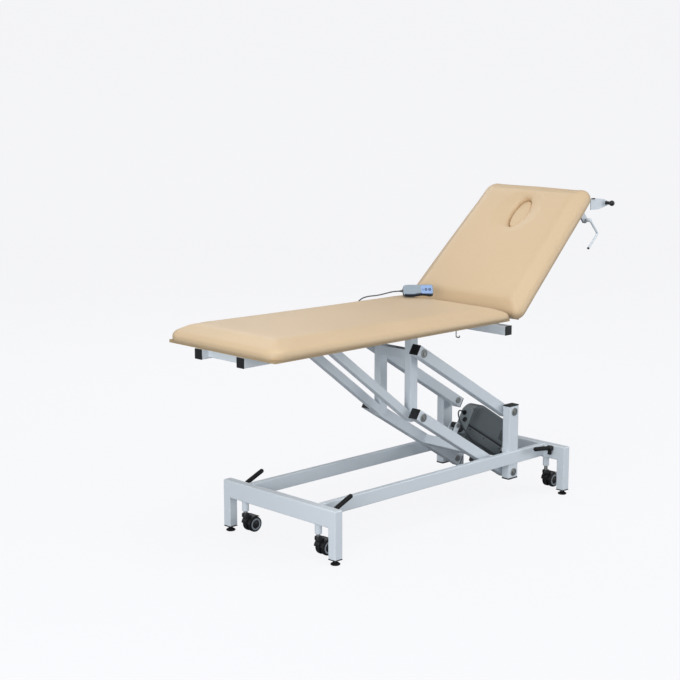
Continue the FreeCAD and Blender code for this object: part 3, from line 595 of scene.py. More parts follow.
CABLE_POINTS = (
    (255.5, 189.9, 912.3), (229.5, 210.1, 912.3), (205.0, 233.0, 904.0), (178.0, 262.0, 893.5),
    (152.0, 288.0, 890.5), (136.0, 312.0, 882.0), (127.0, 331.0, 864.0), (123.0, 341.0, 840.0),
    (123.0, 339.0, 816.0), (128.0, 329.0, 792.0), (142.0, 314.0, 771.0), (166.0, 298.0, 760.0),
    (196.0, 283.0, 757.0), (230.0, 270.0, 757.0), (264.0, 261.5, 757.8), (298.0, 258.4, 758.0),
)
CABLE_R = 2.75
COIL_CENTRE = (300.0, 788.0)
COIL_R, COIL_TURNS, COIL_START, COIL_PITCH, COIL_STEPS = 30.0, 6.5, 258.4, 5.6, 14


def cord_line(name, points, radius):
    """A round cable along a smooth curve through its control points."""
    data = bpy.data.curves.new(name, "CURVE")
    data.dimensions = "3D"
    spline = data.splines.new("NURBS")
    spline.points.add(len(points) - 1)
    for spot, point in zip(spline.points, points):
        spot.co = (*point, 1.0)
    spline.order_u = 3
    spline.use_endpoint_u = True
    spline.resolution_u = 6
    data.bevel_depth = radius
    data.bevel_resolution = 4
    data.use_fill_caps = True
    data.materials.append(MATERIALS["cable_grey"])
    cable = bpy.data.objects.new(name, data)
    bpy.context.scene.collection.objects.link(cable)
    return cable


def make_cable():
    points = [Vector(p) for p in CABLE_POINTS]
    count = int(COIL_TURNS * COIL_STEPS)
    for i in range(1, count + 1):
        turn = -math.pi / 2 + 2 * math.pi * i / COIL_STEPS
        points.append(Vector((COIL_CENTRE[0] + COIL_R * math.cos(turn),
                              COIL_START - COIL_PITCH * i / COIL_STEPS,
                              COIL_CENTRE[1] + COIL_R * math.sin(turn))))
    points += [Vector((276, 222, 818)), Vector((256, 222, 818)), Vector((236, 222, 818))]
    cable = cord_line("handset_cable_line", [COUCH @ p for p in points], CABLE_R / 1000)
    enlist(cable, "upper_frame", "cable_grey", ("handset_cable",))


DRIVE_CABLE_POINTS = (
    (-186.5, 10.0, 168.0), (-214.0, 10.0, 168.0), (-236.0, 4.0, 159.0), (-246.0, -9.0, 140.0),
    (-240.0, -23.0, 118.0), (-222.0, -35.0, 98.0), (-194.0, -44.0, 82.0), (-156.0, -46.0, 70.0),
    (-110.0, -45.0, 62.0), (-64.0, -42.0, 59.0), (-24.0, -34.0, 58.0), (8.0, -22.0, 57.5),
    (26.0, -10.0, 58.5), (33.0, -5.5, 64.8),
)


def make_drive_cable():
    """The short lead that leaves the drive's end plate and turns back under its housing."""
    cable = cord_line("drive_cable_line", [ARMS_LOW @ Vector(p) for p in DRIVE_CABLE_POINTS], 0.003)
    enlist(cable, "actuator_body", "cable_grey", ("actuator_cable",))
    relief = Piece("drive_cable_relief", "actuator_body", "black_rubber")
    relief.add(lathe([(3.2, -189), (7.0, -189), (6.6, -193), (5.2, -197), (4.4, -203), (3.9, -208),
                      (3.2, -209)], "X", (0, 10, 168), 28), ARMS_LOW)
    relief.make()


# ---------------------------------------------------------------- base


def add_bolt(piece, place, side, x, z, face, pin_inner, ring=True):
    """A pivot bolt: a cupped ring, a washer and a hex head, and the pin behind them."""
    def at(a):
        return side * a

    def span(a, b):
        return sorted((at(a), at(b)))
    if ring:
        piece.add(tube(*span(face, face + 3.2), 17.5, 14.5, 0.9, "Y", (x, 0, z)), place)
    piece.add(drum(13.5, *span(face, face + 1.8), 0.6, "Y", (x, 0, z)), place)
    piece.add(hexagon(17, *span(face + 1.8, face + 6.6), "Y", (x, 0, z), side), place)
    piece.add(drum(8, *span(pin_inner, face), 0.5, "Y", (x, 0, z), 28), place)


def make_base():
    frame_piece = Piece("base_frame", "base", "white_paint",
                        ("cross_members", "base_legs", "base_rails", "base_posts"))
    for x0, low in ((-650.0, 145.0), (752.6, 155.0)):
        outline = [(-329, 22), (-329, 217), (329, 217), (329, 22), (289, 22), (289, low),
                   (-289, low), (-289, 22)]
        frame_piece.add(prism(outline, "X", x0, x0 + 40, 4.0, 4))
    for side in SIDES:
        y0, y1 = sorted((side * 191, side * 216))
        frame_piece.add(block((-612, y0, 162), (755, y1, 217), 3.5))
        p0, p1 = sorted((side * 173, side * 213))
        frame_piece.add(block((515, p0, 99), (576, p1, 420), 4.0))
        for x, way in ((-610, 1), (752.6, -1)):
            for y in (191, 216):
                frame_piece.add(weld((x, side * y, 166), (x, side * y, 214), 2.4))
        for x in (515, 576):
            frame_piece.add(weld((x, side * 213.5, 166), (x, side * 213.5, 213), 2.6))
            frame_piece.add(weld((x, side * 190.5, 166), (x, side * 190.5, 213), 2.6))
        frame_piece.add(weld((519, side * 213.5, 162), (572, side * 213.5, 162), 2.6))
        frame_piece.add(weld((519, side * 191.0, 217), (572, side * 191.0, 217), 2.4))
    frame_piece.make()

    caps = Piece("base_closures", "base", "black_plastic", ("base_caps",))
    for x in (-630.0, 772.6):
        for side in SIDES:
            y = side * 309
            caps.add(block((x - 20, y - 20, 19), (x + 20, y + 20, 22.2), 1.0, 2))
            caps.add(hexagon(17, 19.2, 21.5, "Z", (x, y, 0), -1))
    for side in SIDES:
        y0, y1 = sorted((side * 172, side * 214))
        for z0, z1 in ((420, 424.5), (94.5, 99)):
            outline = oval_box(514, 577, y0, y1, 5)
            caps.add(prism(outline, "Z", z0, z1, 1.4, 2))
        caps.add(block((521, y0 + 7, 424), (570, y1 - 7, 425.6), 0.8, 2))
    caps.make()

    bolts = Piece("base_bolts", "base", "zinc", ("base_pivot_bolts",))
    for side in SIDES:
        for z in (124.9, 394.9):
            add_bolt(bolts, COUCH, side, 545.7, z, 213, 110.5)
            bolts.add(drum(14, *sorted((side * 110, side * 113.9)), 0.8, "Y", (545.7, 0, z)))
    bolts.make()

    mount = Piece("drive_mount", "base", "white_paint", ("actuator_mount",))
    x, z = 709.38, 133.94
    for side in SIDES:
        y0, y1 = sorted((side * 24, side * 30))
        outline = arc(x, z, 14, 90, 270, 12) + [(736, z - 14), (753.6, z - 14), (753.6, 205),
                                               (742, 205), (738, 200), (736.6, 170), (730, z + 16)]
        mount.add(prism(outline, "Y", y0, y1, 0.8, 2))
        mount.add(weld((752.4, side * 31, 124), (752.4, side * 31, 202), 2.2))
        mount.add(hexagon(14, *sorted((side * 30, side * 36)), "Y", (x, 0, z), side), finish="zinc")
    mount.add(drum(5, -30, 30, 0.4, "Y", (x, 0, z), 24), finish="zinc")
    mount.make()

    sockets = Piece("castor_guides", "base", "white_paint", ("castor_sockets",))
    for x, high, face, way, lever_x, lever_z in ((-630, 145, -610, 1, -596, 196),
                                                 (772, 155, 752.6, -1, 739, 207)):
        for side in SIDES:
            y = side * 215
            sockets.add(tube(high - 42, high + 1, 14, 8.4, 1.2, "Z", (x, y, 0)))
            sockets.add(lathe([(14, high - 1.5), (17.5, high - 1.5), (17.5, high + 1)],
                              "Z", (x, y, 0)))
            y0, y1 = sorted((side * 235, side * 247))
            reach = abs(lever_x - face)
            outline = [(lever_x - way * reach, lever_z - 10)]
            outline += arc(lever_x, lever_z, 10, -90 if way > 0 else 270, 90, 10)
            outline += [(lever_x - way * reach, lever_z + 10)]
            sockets.add(prism(outline, "Y", y0, y1, 1.0, 2))
    sockets.make()


CORNERS = [(f"{end}_{name}", end, side) for end in ("foot", "head")
           for name, side in (("near", -1), ("far", 1))]
CASTOR_X = {"foot": -630.0, "head": 772.0}
BEAM_LOW = {"foot": 145.0, "head": 155.0}


def make_castor(tag, end, side):
    place = turned(CASTOR_X[end], side * 215, 0)
    high = BEAM_LOW[end]
    stem = Piece(f"castor_pin_{tag}", f"castor_stem_{tag}", "zinc", (f"castor_stem_{tag}",))
    stem.add(lathe([(0, 88.4), (7, 88.4), (8, 89.4), (8, high + 43), (6.5, high + 45),
                    (0, high + 45)], seg=28), place)
    stem.make()

    yoke = Piece(f"castor_fork_{tag}", f"castor_yoke_{tag}", "black_plastic",
                 (f"castor_yoke_{tag}",))
    yoke.add(lathe([(0, 76), (12, 76), (15.5, 79), (15.5, 90), (14.5, 92.5), (11, 94), (8.2, 94),
                    (8.2, 90)], seg=36), place)
    # the hood: a shell round the top and back of the wheels, closed between them
    centre = (35, 43)
    for y0, y1, outer, start, turn_end in ((-25.5, 25.5, 37.5, 62, 172), (-4.6, 4.6, 37.0, 40, 215)):
        inner = 33.8 if y1 > 10 else 11
        outline = arc(*centre, outer, start, turn_end, 22) + arc(*centre, inner, turn_end, start, 22)
        yoke.add(prism(outline, "Y", y0, y1, 1.2, 2), place)
    yoke.add(prism([(-9, 60), (9, 84), (16, 84), (30, 79), (14, 66), (0, 46), (-3, 43)], "Y", -9, 9,
                   2.0, 2), place)
    yoke.add(drum(4, -25, 25, 0.5, "Y", (35, 0, 43), 20), place, "zinc")
    yoke.make()

    wheels = Piece(f"castor_rollers_{tag}", f"castor_wheels_{tag}", "black_rubber",
                   (f"castor_wheels_{tag}",))
    for face in SIDES:
        def out(a):
            return face * a
        tyre = [(22, 6.5), (29, 6.2), (31.2, 7.6), (32, 11), (32, 19), (31.0, 22.5), (28.2, 24),
                (24.5, 24), (24.5, 21), (22, 21), (22, 6.5)]
        wheels.add(lathe([(r, out(a)) for r, a in tyre], "Y", (35, 0, 43), 56), place)
        ring = [(24.6, 20.8), (24.6, 24.2), (23.6, 24.9), (19, 24.9), (17.8, 23.6), (17.8, 20)]
        wheels.add(lathe([(r, out(a)) for r, a in ring], "Y", (35, 0, 43), 56), place, "ring_grey")
        disc = [(22.5, 8), (22.5, 20.5), (17.9, 21.4), (17.4, 23.0), (9.5, 23.8), (8, 25.2),
                (0, 25.6)]
        wheels.add(lathe([(r, out(a)) for r, a in disc], "Y", (35, 0, 43), 48), place,
                   "black_plastic")
        inside = [(22.5, 8), (10, 7.2), (6, 6.0), (4.1, 6.0)]
        wheels.add(lathe([(r, out(a)) for r, a in inside], "Y", (35, 0, 43), 48), place,
                   "black_plastic")
    wheels.make()


LEVER_AT = {"foot": (-596.0, 196.0), "head": (739.0, 207.0)}
LEVER_TURNS = {"foot": ((-23, "Y"),), "head": ((7, "Y"), (180, "Z"))}


def make_lever(tag, end, side):
    x, z = LEVER_AT[end]
    place = turned(x, side * 261, z, *LEVER_TURNS[end])
    inward = -side if end == "foot" else side
    lever = Piece(f"pedal_{tag}", f"lever_{tag}", "black_rubber", (f"lever_{tag}",))
    lever.add(drum(12, -11, 11, 2.2, "Y", seg=40), place, "black_plastic")
    lever.add(tube(-11.6, 11.6, 8.5, 5.2, 0.8, "Y", seg=32), place, "black_plastic")
    lever.add(drum(5, *sorted((inward * 9, inward * 40)), 0.5, "Y", seg=24), place, "zinc")
    lever.add(drum(5.6, 8, 24, 0.6, "X", seg=24), place, "zinc")
    # the grip: a sleeve with a collar, ribs on its upper half, and a rounded end
    profile = [(5.7, 15), (8.6, 15), (9.5, 16.2), (9.5, 19), (8.7, 20.5)]
    for i in range(14):
        start = 23 + 5.4 * i
        profile += [(8.7, start), (9.4, start + 0.9), (9.4, start + 3.2), (8.7, start + 4.1)]
    profile += [(9.0, 100)] + [(9.3 * math.cos(math.radians(a)), 102.8 + 9.2 * math.sin(math.radians(a)))
                               for a in range(0, 90, 12)] + [(0, 112)]
    lever.add(lathe(profile, "X", seg=36), place)
    lever.add(block((-5, -8, -30), (5, 8, -4), 2.6), place)
    lever.make()


def make_foot(tag, end, side):
    x = {"foot": -630.0, "head": 772.6}[end]
    place = turned(x, side * 309, 0)
    foot = Piece(f"foot_pad_{tag}", f"levelling_foot_{tag}", "black_rubber",
                 (f"levelling_foot_{tag}",))
    foot.add(lathe([(0, 0.3), (12, 0.3), (17.4, 0), (19, 1.4), (19, 4.6), (17.8, 5.8), (12, 9.4),
                    (10, 11.2), (6, 11.6), (0, 11.6)], seg=48), place)
    foot.add(hexagon(15, 11.2, 17.5, "Z", (0, 0, 0), 1), place, "black_plastic")
    thread = [(4.2, 11)]
    for i in range(27):
        thread += [(5, 11.8 + 2 * i), (4.4, 12.8 + 2 * i)]
    foot.add(lathe(thread + [(0, 65)], seg=24), place, "zinc")
    foot.make()


# ---------------------------------------------------------------- lift


def add_arm_caps(piece, place):
    for side in SIDES:
        y0, y1 = sorted((side * 114.5, side * 160.8))
        for x0, x1, way in ((32, 35, 1), (-651.8, -648.8, -1)):
            piece.add(block((x0, y0 + 0.3, -22.7), (x1, y1 - 0.3, 22.7), 1.3, 3), place,
                      "black_plastic")
            mid = x1 if way > 0 else x0
            piece.add(block((mid - 0.8, y0 + 6, -17), (mid + 0.8, y1 - 6, 17), 0.7, 2), place,
                      "black_plastic")


def make_arms():
    for label, place in (("lower_arms", ARMS_LOW), ("upper_arms", ARMS_HIGH)):
        arms = Piece(f"{label}_painted", label, "white_paint", (label,))
        for side in SIDES:
            y0, y1 = sorted((side * 114.5, side * 160.8))
            arms.add(block((-648.8, y0, -23), (32, y1, 23), 4.0, 4), place)
        arms.make()
    caps = Piece("upper_arm_closures", "upper_arms", "black_plastic", ("upper_arm_caps",))
    add_arm_caps(caps, ARMS_HIGH)
    caps.make()
    fittings = Piece("lower_arm_closures", "lower_arms", "black_plastic", ("lower_arm_fittings",))
    add_arm_caps(fittings, ARMS_LOW)
    fittings.add(drum(6, -19.5, 19.5, 0.5, "Y", (-232, 0, 93), 28), ARMS_LOW, "zinc")
    for side in SIDES:
        fittings.add(drum(10, *sorted((side * 19, side * 21.5)), 0.8, "Y", (-232, 0, 93)), ARMS_LOW,
                     "zinc")
    fittings.make()
    cross = Piece("lower_cross_bar", "lower_arms", "white_paint", ("lower_cross_tube",))
    cross.add(block((-252, -115.5, -20), (-212, 115.5, 20), 4.0, 4), ARMS_LOW)
    for side in SIDES:
        y0, y1 = sorted((side * 14, side * 19))
        outline = [(-251, 19), (-213, 19), (-217, 34)] + arc(-232, 93, 13, 0, 180, 12) + [(-247, 34)]
        cross.add(prism(outline, "Y", y0, y1, 0.8, 2), ARMS_LOW)
        cross.add(weld((-250, side * 19.6, 20.4), (-214, side * 19.6, 20.4), 2.4), ARMS_LOW)
        for z in (-17, 17):
            cross.add(weld((-250, side * 114.2, z), (-214, side * 114.2, z), 2.4), ARMS_LOW)
    cross.make()


def make_actuator():
    rod = Piece("drive_rod", "actuator_rod", "chromed_rod", ("actuator_rod",))
    rod.add(drum(10, -222, 29, 0.8, "X", (0, 0, 93), 40), ARMS_LOW)
    rod.add(lathe([(0, -242), (8, -242), (11.5, -238), (12.6, -232), (12.6, -214), (10.4, -208),
                   (0, -208)], "X", (0, 0, 93), 36, 0.84), ARMS_LOW, "black_plastic")
    rod.add(tube(-11, 11, 13, 6.2, 1.2, "Y", (-232, 0, 93)), ARMS_LOW, "black_plastic")
    rod.make()

    sleeve = Piece("drive_sleeve", "actuator_body", "black_metal", ("actuator_tube",))
    profile = [(10.2, -194), (15.5, -194), (17, -192.5), (17, -184), (16, -183), (16, 96),
               (17, 97), (17, 101), (0, 101)]
    sleeve.add(lathe(profile, "X", (0, 0, 93), 44), ARMS_LOW)
    sleeve.add(block((98, -16, 79), (128, 16, 107), 3.0), ARMS_LOW)
    sleeve.add(tube(-16, 16, 14, 8.7, 1.2, "Y", (135, 0, 93)), ARMS_LOW)
    sleeve.make()

    housing = Piece("drive_housing", "actuator_body", "housing_grey", ("actuator_housing",))
    # the upper shell is a dome over the tray; a recessed band parts them
    dome = ([(-184, 118)] + [(85, 118)] + arc(25, 172, 60, 0, 90, 12)
            + arc(-124, 172, 60, 90, 180, 12))
    housing.add(prism(dome, "Y", -38, 38, 10.0, 5), ARMS_LOW)
    housing.add(block((-182, -35.5, 112), (82.5, 35.5, 124), 2.0), ARMS_LOW, "black_plastic")
    housing.add(block((-184, -38, 68), (85, 38, 116), 9.0, 5), ARMS_LOW)
    for x in (-168, -60, 66):
        for side in SIDES:
            housing.add(drum(3.4, *sorted((side * 36.8, side * 39.0)), 0.6, "Y", (x, 0, 104), 20),
                        ARMS_LOW, "black_plastic")
    for i in range(7):
        x = 34 + 6 * i
        for side in SIDES:
            y0, y1 = sorted((side * 36.8, side * 38.6))
            housing.add(block((x, y0, 138), (x + 3.0, y1, 182), 0.6, 2), ARMS_LOW, "black_plastic")
    # the end plate with its two sockets
    housing.add(prism(oval_box(-31, 31, 74, 196, 14), "X", -187.5, -181, 1.6, 3), ARMS_LOW,
                "panel_grey")
    for y, z in ((10, 168), (-6, 138)):
        housing.add(tube(-192, -186, 11, 7.5, 1.0, "X", (0, y, z)), ARMS_LOW, "black_plastic")
        housing.add(drum(7.6, -189, -184, 0.5, "X", (0, y, z), 28), ARMS_LOW, "black_plastic")
    housing.add(drum(18.5, -190.5, -184, 1.2, "X", (0, 0, 93), 40), ARMS_LOW, "black_plastic")
    housing.make()


# ---------------------------------------------------------------- upper frame


def make_upper_frame():
    tubes = Piece("bed_frame", "upper_frame", "white_paint",
                  ("frame_uprights", "frame_struts", "bed_rails", "frame_cross_tubes",
                   "hinge_plates"))
    for side in SIDES:
        def span(a, b):
            return sorted((side * a, side * b))
        y0, y1 = span(69.5, 106)
        tubes.add(block((0, y0, 420), (43, y1, 786), 3.5))
        y0, y1 = span(69.5, 104.5)
        brace = [(1.5, 422.8), (1.5, 467.0), (-413.0, 785.5), (-470.6, 785.5)]
        tubes.add(prism(brace, "Y", y0, y1, 3.0))
        y0, y1 = span(102, 142)
        tubes.add(block((-934, y0, 785), (384, y1, 825), 4.0, 4))
        y0, y1 = span(142, 149)
        plate = ([(322, 790), (466, 790.8)] + arc(466, 806, 15, -90, 118, 12)
                 + [(446, 803), (436, 799.5), (386, 799.5), (384, 806), (384, 822), (382, 824),
                    (322, 824), (320, 822), (320, 792)])
        tubes.add(prism(plate, "Y", y0, y1, 0.9, 2))
        tubes.add(weld((326, side * 142.6, 789.5), (428, side * 142.6, 789.5), 2.6))
        y0, y1 = span(13, 18)
        ear = [(470, 746), (492, 746)] + arc(492, 758, 12, -90, 90, 10) + [(470, 770)]
        tubes.add(prism(ear, "Y", y0, y1, 0.8, 2))
        tubes.add(weld((3, side * 87.8, 784.6), (40, side * 87.8, 784.6), 2.4))
        tubes.add(weld((-0.4, side * 73, 468), (-0.4, side * 101, 468), 2.6))
    for x in (-900, -440, 250):
        tubes.add(block((x, -103, 790), (x + 30, 103, 820), 3.0))
        for side in SIDES:
            for edge in (x, x + 30):
                tubes.add(weld((edge, side * 101.8, 793), (edge, side * 101.8, 817), 2.2))
    tubes.add(block((2, -70.5, 685), (41, 70.5, 724), 3.5))
    tubes.add(block((432, -246, 750), (472, 246, 790), 4.0, 4))
    tubes.make()

    caps = Piece("bed_closures", "upper_frame", "black_plastic", ("frame_caps",))
    for side in SIDES:
        y0, y1 = sorted((side * 101.5, side * 142.5))
        for x0, x1, mid in ((-938, -934, -938), (384, 388, 388)):
            caps.add(block((x0, y0, 784.5), (x1, y1, 824.5), 1.5, 3))
            caps.add(block((mid - 0.7, y0 + 6, 790), (mid + 0.7, y1 - 6, 819), 0.6, 2))
        y0, y1 = sorted((side * 246, side * 250))
        caps.add(block((431.5, y0, 749.5), (472.5, y1, 790), 1.5, 3))
        mid = side * 250
        caps.add(block((438, mid - 0.7, 756), (466, mid + 0.7, 784), 0.6, 2))
    caps.make()

    bolts = Piece("bed_bolts", "upper_frame", "zinc", ("frame_bolts",))
    for side in SIDES:
        for z in (446.26, 716.26):
            add_bolt(bolts, COUCH, side, 19.23, z, 161.3, 100)
            bolts.add(drum(14, *sorted((side * 106, side * 114)), 1.0, "Y", (19.23, 0, z)))
        bolts.add(drum(6, *sorted((side * 142.5, side * 182)), 0.6, "Y", (466, 0, 806), 28))
        bolts.add(drum(10.5, *sorted((side * 148.8, side * 151.6)), 0.7, "Y", (466, 0, 806)))
        bolts.add(hexagon(13, *sorted((side * 177.6, side * 183.5)), "Y", (466, 0, 806), side))
    bolts.add(drum(5, -21.5, 21.5, 0.5, "Y", (492, 0, 758), 24))
    for side in SIDES:
        bolts.add(tube(*sorted((side * 18.2, side * 19.6)), 8.5, 5, 0.4, "Y", (492, 0, 758)))
    bolts.make()

    under = Piece("under_seat_parts", "upper_frame", "black_plastic", ("under_seat_fittings",))
    under.add(block((150, 200, 806), (244, 262, 825), 3.0))
    under.add(block((151, 201, 801), (243, 261, 804.8), 1.6))
    under.add(block((153, 203, 803), (241, 259, 808), 0.8, 2), finish="cable_grey")
    for x in (158, 236):
        for y in (208, 254):
            under.add(drum(3.2, 800.2, 803, 0.5, "Z", (x, y, 0), 20), finish="zinc")
    under.add(tube(243, 255, 5.6, 2.9, 0.8, "X", (0, 222, 818), 28))
    under.add(tube(243, 247, 7.2, 3.0, 0.8, "X", (0, 222, 818), 6))
    under.add(block((292, 228, 822), (308, 252, 825), 1.0, 2))
    under.add(block((62, -290, 821), (92, -262, 825), 1.2, 2), finish="zinc")
    under.add(wire([(77, -285, 823), (77, -285, 794), (77, -303, 794), (77, -303, 802)], 2.6,
                   round_off=6), finish="zinc")
    for x in (68, 86):
        under.add(drum(3.0, 819.6, 822, 0.8, "Z", (x, -270, 0), 20), finish="zinc")
    under.make()


# ---------------------------------------------------------------- upholstery


def solid_object(name, shape, place):
    """A scratch object that a cushion starts from."""
    mesh = bpy.data.meshes.new(name)
    bmesh.ops.transform(shape, matrix=place, verts=shape.verts[:])
    shape.to_mesh(mesh)
    shape.free()
    obj = bpy.data.objects.new(name, mesh)
    bpy.context.scene.collection.objects.link(obj)
    return obj


def swell(obj, held, cap, pressure=4.0, frames=20):
    """Blow a pad up with a short cloth run; held says which points stay, in couch millimetres."""
    start = [v.co.copy() for v in obj.data.vertices]
    pins = obj.vertex_groups.new(name="held")
    pins.add([i for i, co in enumerate(start) if held(co)], 1.0, "REPLACE")
    modifier = obj.modifiers.new("cloth", "CLOTH")
    modifier.settings.quality = 5
    modifier.settings.mass = 0.25
    modifier.settings.use_pressure = True
    modifier.settings.uniform_pressure_force = pressure
    modifier.settings.vertex_group_mass = "held"
    modifier.settings.effector_weights.gravity = 0.0
    modifier.point_cache.frame_end = frames
    scene = bpy.context.scene
    for number in range(1, frames + 1):
        scene.frame_set(number)
    seen = obj.evaluated_get(bpy.context.evaluated_depsgraph_get()).data
    for v, rest, now in zip(obj.data.vertices, start, seen.vertices):
        move = now.co - rest
        size = move.length
        if size > 1e-9:
            move *= cap * (1 - math.exp(-size / cap)) / size
        v.co = rest + move
    obj.modifiers.clear()
    obj.vertex_groups.clear()
    scene.frame_set(1)


def to_local(place, co):
    return place.inverted() @ co


def finish_pad(obj, body, replaced):
    mesh = obj.data
    mesh.polygons.foreach_set("use_smooth", [True] * len(mesh.polygons))
    mesh.materials.clear()
    mesh.materials.append(MATERIALS["vinyl"])
    enlist(obj, body, "vinyl", replaced)


SEAT_FOOT, SEAT_HEAD, SEAT_HALF = -944, 402, 322
SEAT_LOW, SEAT_TOP_FOOT, SEAT_FALL = 826, 900.5, 20
BACK_LOW, BACK_THICK = 20, 72.5
HOLE_X, HOLE_LONG, HOLE_WIDE = 540, 85, 42
BACK_LIMITS = -12, 723, 328, 294

# a pad's rim, from its underside up: how far in from the outline, and the share of its thickness
WATERFALL = ((22, 0.0), (10, 0.03), (3, 0.10), (0, 0.20), (0, 0.40), (3, 0.51), (8, 0.59), (18, 0.67),
             (32, 0.745), (46, 0.82), (58, 0.895), (69, 0.955), (82, 0.985), (96, 0.998))


def loft(outline, height, breadth=1.0, extra=0.0):
    """A pad raised through its outline at growing insets; height(x, share) places each ring."""
    made = bmesh.new()
    rings = [[made.verts.new((x, y, height(x, share))) for x, y in outline(extra + breadth * inset)]
             for inset, share in WATERFALL]
    made.faces.new(rings[0])
    made.faces.new(rings[-1])
    count = len(rings[0])
    for low, high in zip(rings, rings[1:]):
        for i in range(count):
            j = (i + 1) % count
            made.faces.new((low[i], low[j], high[j], high[i]))
    bmesh.ops.recalc_face_normals(made, faces=made.faces[:])
    return made


def seat_outline(inset):
    head_r, foot_r = max(50 - inset, 12), max(70 - inset, 16)
    x0, x1, half = SEAT_FOOT + inset, SEAT_HEAD - inset, SEAT_HALF - inset
    return (arc(x1 - head_r, head_r - half, head_r, -90, 0, 8)
            + arc(x1 - head_r, half - head_r, head_r, 0, 90, 8)
            + arc(x0 + foot_r, half - foot_r, foot_r, 90, 180, 12)
            + arc(x0 + foot_r, foot_r - half, foot_r, 180, 270, 12))


def make_seat_pad():
    def height(x, share):
        top = SEAT_TOP_FOOT - SEAT_FALL * (x - SEAT_FOOT) / (SEAT_HEAD - SEAT_FOOT)
        return SEAT_LOW + (top - SEAT_LOW) * share
    pad = solid_object("seat_pad", loft(seat_outline, height, 1.0, 0.5), COUCH)
    settle(pad, "REMESH", mode="VOXEL", voxel_size=0.0095)
    swell(pad, lambda co: co.z < 0.8275, 0.003)
    settle(pad, "SUBSURF", levels=1)
    for v in pad.data.vertices:
        v.co.z = max(v.co.z, 0.8262)
    finish_pad(pad, "upper_frame", ("seat_cushion",))


def back_outline(inset):
    """The backrest pad's outline in its own frame, tapering to round corners at its tip."""
    low_x, tip_x, low_half, tip_half = BACK_LIMITS
    x0, x1 = low_x + inset, tip_x - inset
    half0, half1 = low_half - inset, tip_half - inset
    lean = math.degrees(math.atan2(half0 - half1, x1 - x0))
    tip_r, low_r = max(58 - inset, 14), max(40 - inset, 12)
    points = []
    for side in (-1, 1):
        ring = arc(x0 + low_r, half0 - low_r - 1.2, low_r, 180, 90 - lean, 6)
        tip = arc(x1 - tip_r, half1 - tip_r + 2.2, tip_r, 90 - lean, 0, 12)
        half = ring + tip
        if side < 0:
            points += [(x, -y) for x, y in half]
        else:
            points += half[::-1]
    return points


def make_back_pads():
    shape = loft(back_outline, lambda x, share: BACK_LOW + BACK_THICK * share, 0.85, 0.5)
    pad = solid_object("back_pad", shape, BACK)
    opening = [(HOLE_X + HOLE_LONG * math.cos(a), HOLE_WIDE * math.sin(a))
               for a in (2 * math.pi * i / 56 for i in range(56))]
    knife = solid_object("opening", prism(opening, "Z", 0, 100, 0), BACK)
    settle(pad, "BOOLEAN", operation="DIFFERENCE", object=knife, solver="EXACT")
    bpy.data.objects.remove(knife)
    settle(pad, "REMESH", mode="VOXEL", voxel_size=0.0080)

    def near_opening(co, margin):
        spot = to_local(BACK, co)
        return math.hypot((spot.x - HOLE_X) / (HOLE_LONG + margin),
                          spot.y / (HOLE_WIDE + margin)) < 1
    def held(co):
        return to_local(BACK, co).z < 20.8 or near_opening(co, 4)
    swell(pad, held, 0.003)
    settle(pad, "SUBSURF", levels=1)
    place_back = BACK.inverted()
    for v in pad.data.vertices:
        spot = place_back @ v.co
        if spot.z > 60:
            # the soft dish round the opening, and its rim turned down into it
            far = math.hypot(spot.x - 534, spot.y * 1.04)
            dip = max(0.0, 1 - (far / 128) ** 2)
            edge = math.hypot((spot.x - HOLE_X) / HOLE_LONG, spot.y / HOLE_WIDE)
            rim = max(0.0, 1 - (edge - 1) / 0.22) if edge > 0.9 else 1.0
            spot.z -= 20.0 * dip ** 1.4 + 4.0 * min(1.0, rim) ** 2
        spot.z = max(spot.z, 20.2)
        v.co = BACK @ spot
    finish_pad(pad, "backrest", ("back_cushion",))

    plug_line = [(HOLE_X + 82.6 * math.cos(a), 39.6 * math.sin(a))
                 for a in (2 * math.pi * i / 56 for i in range(56))]
    plug = solid_object("opening_plug", prism(plug_line, "Z", 23.5, 68, 7.0, 3), BACK)
    settle(plug, "REMESH", mode="VOXEL", voxel_size=0.004)
    swell(plug, lambda co: to_local(BACK, co).z < 50, 0.004, 3.0)
    settle(plug, "SUBSURF", levels=1)
    finish_pad(plug, "face_plug", ("face_plug",))


# ---------------------------------------------------------------- backrest


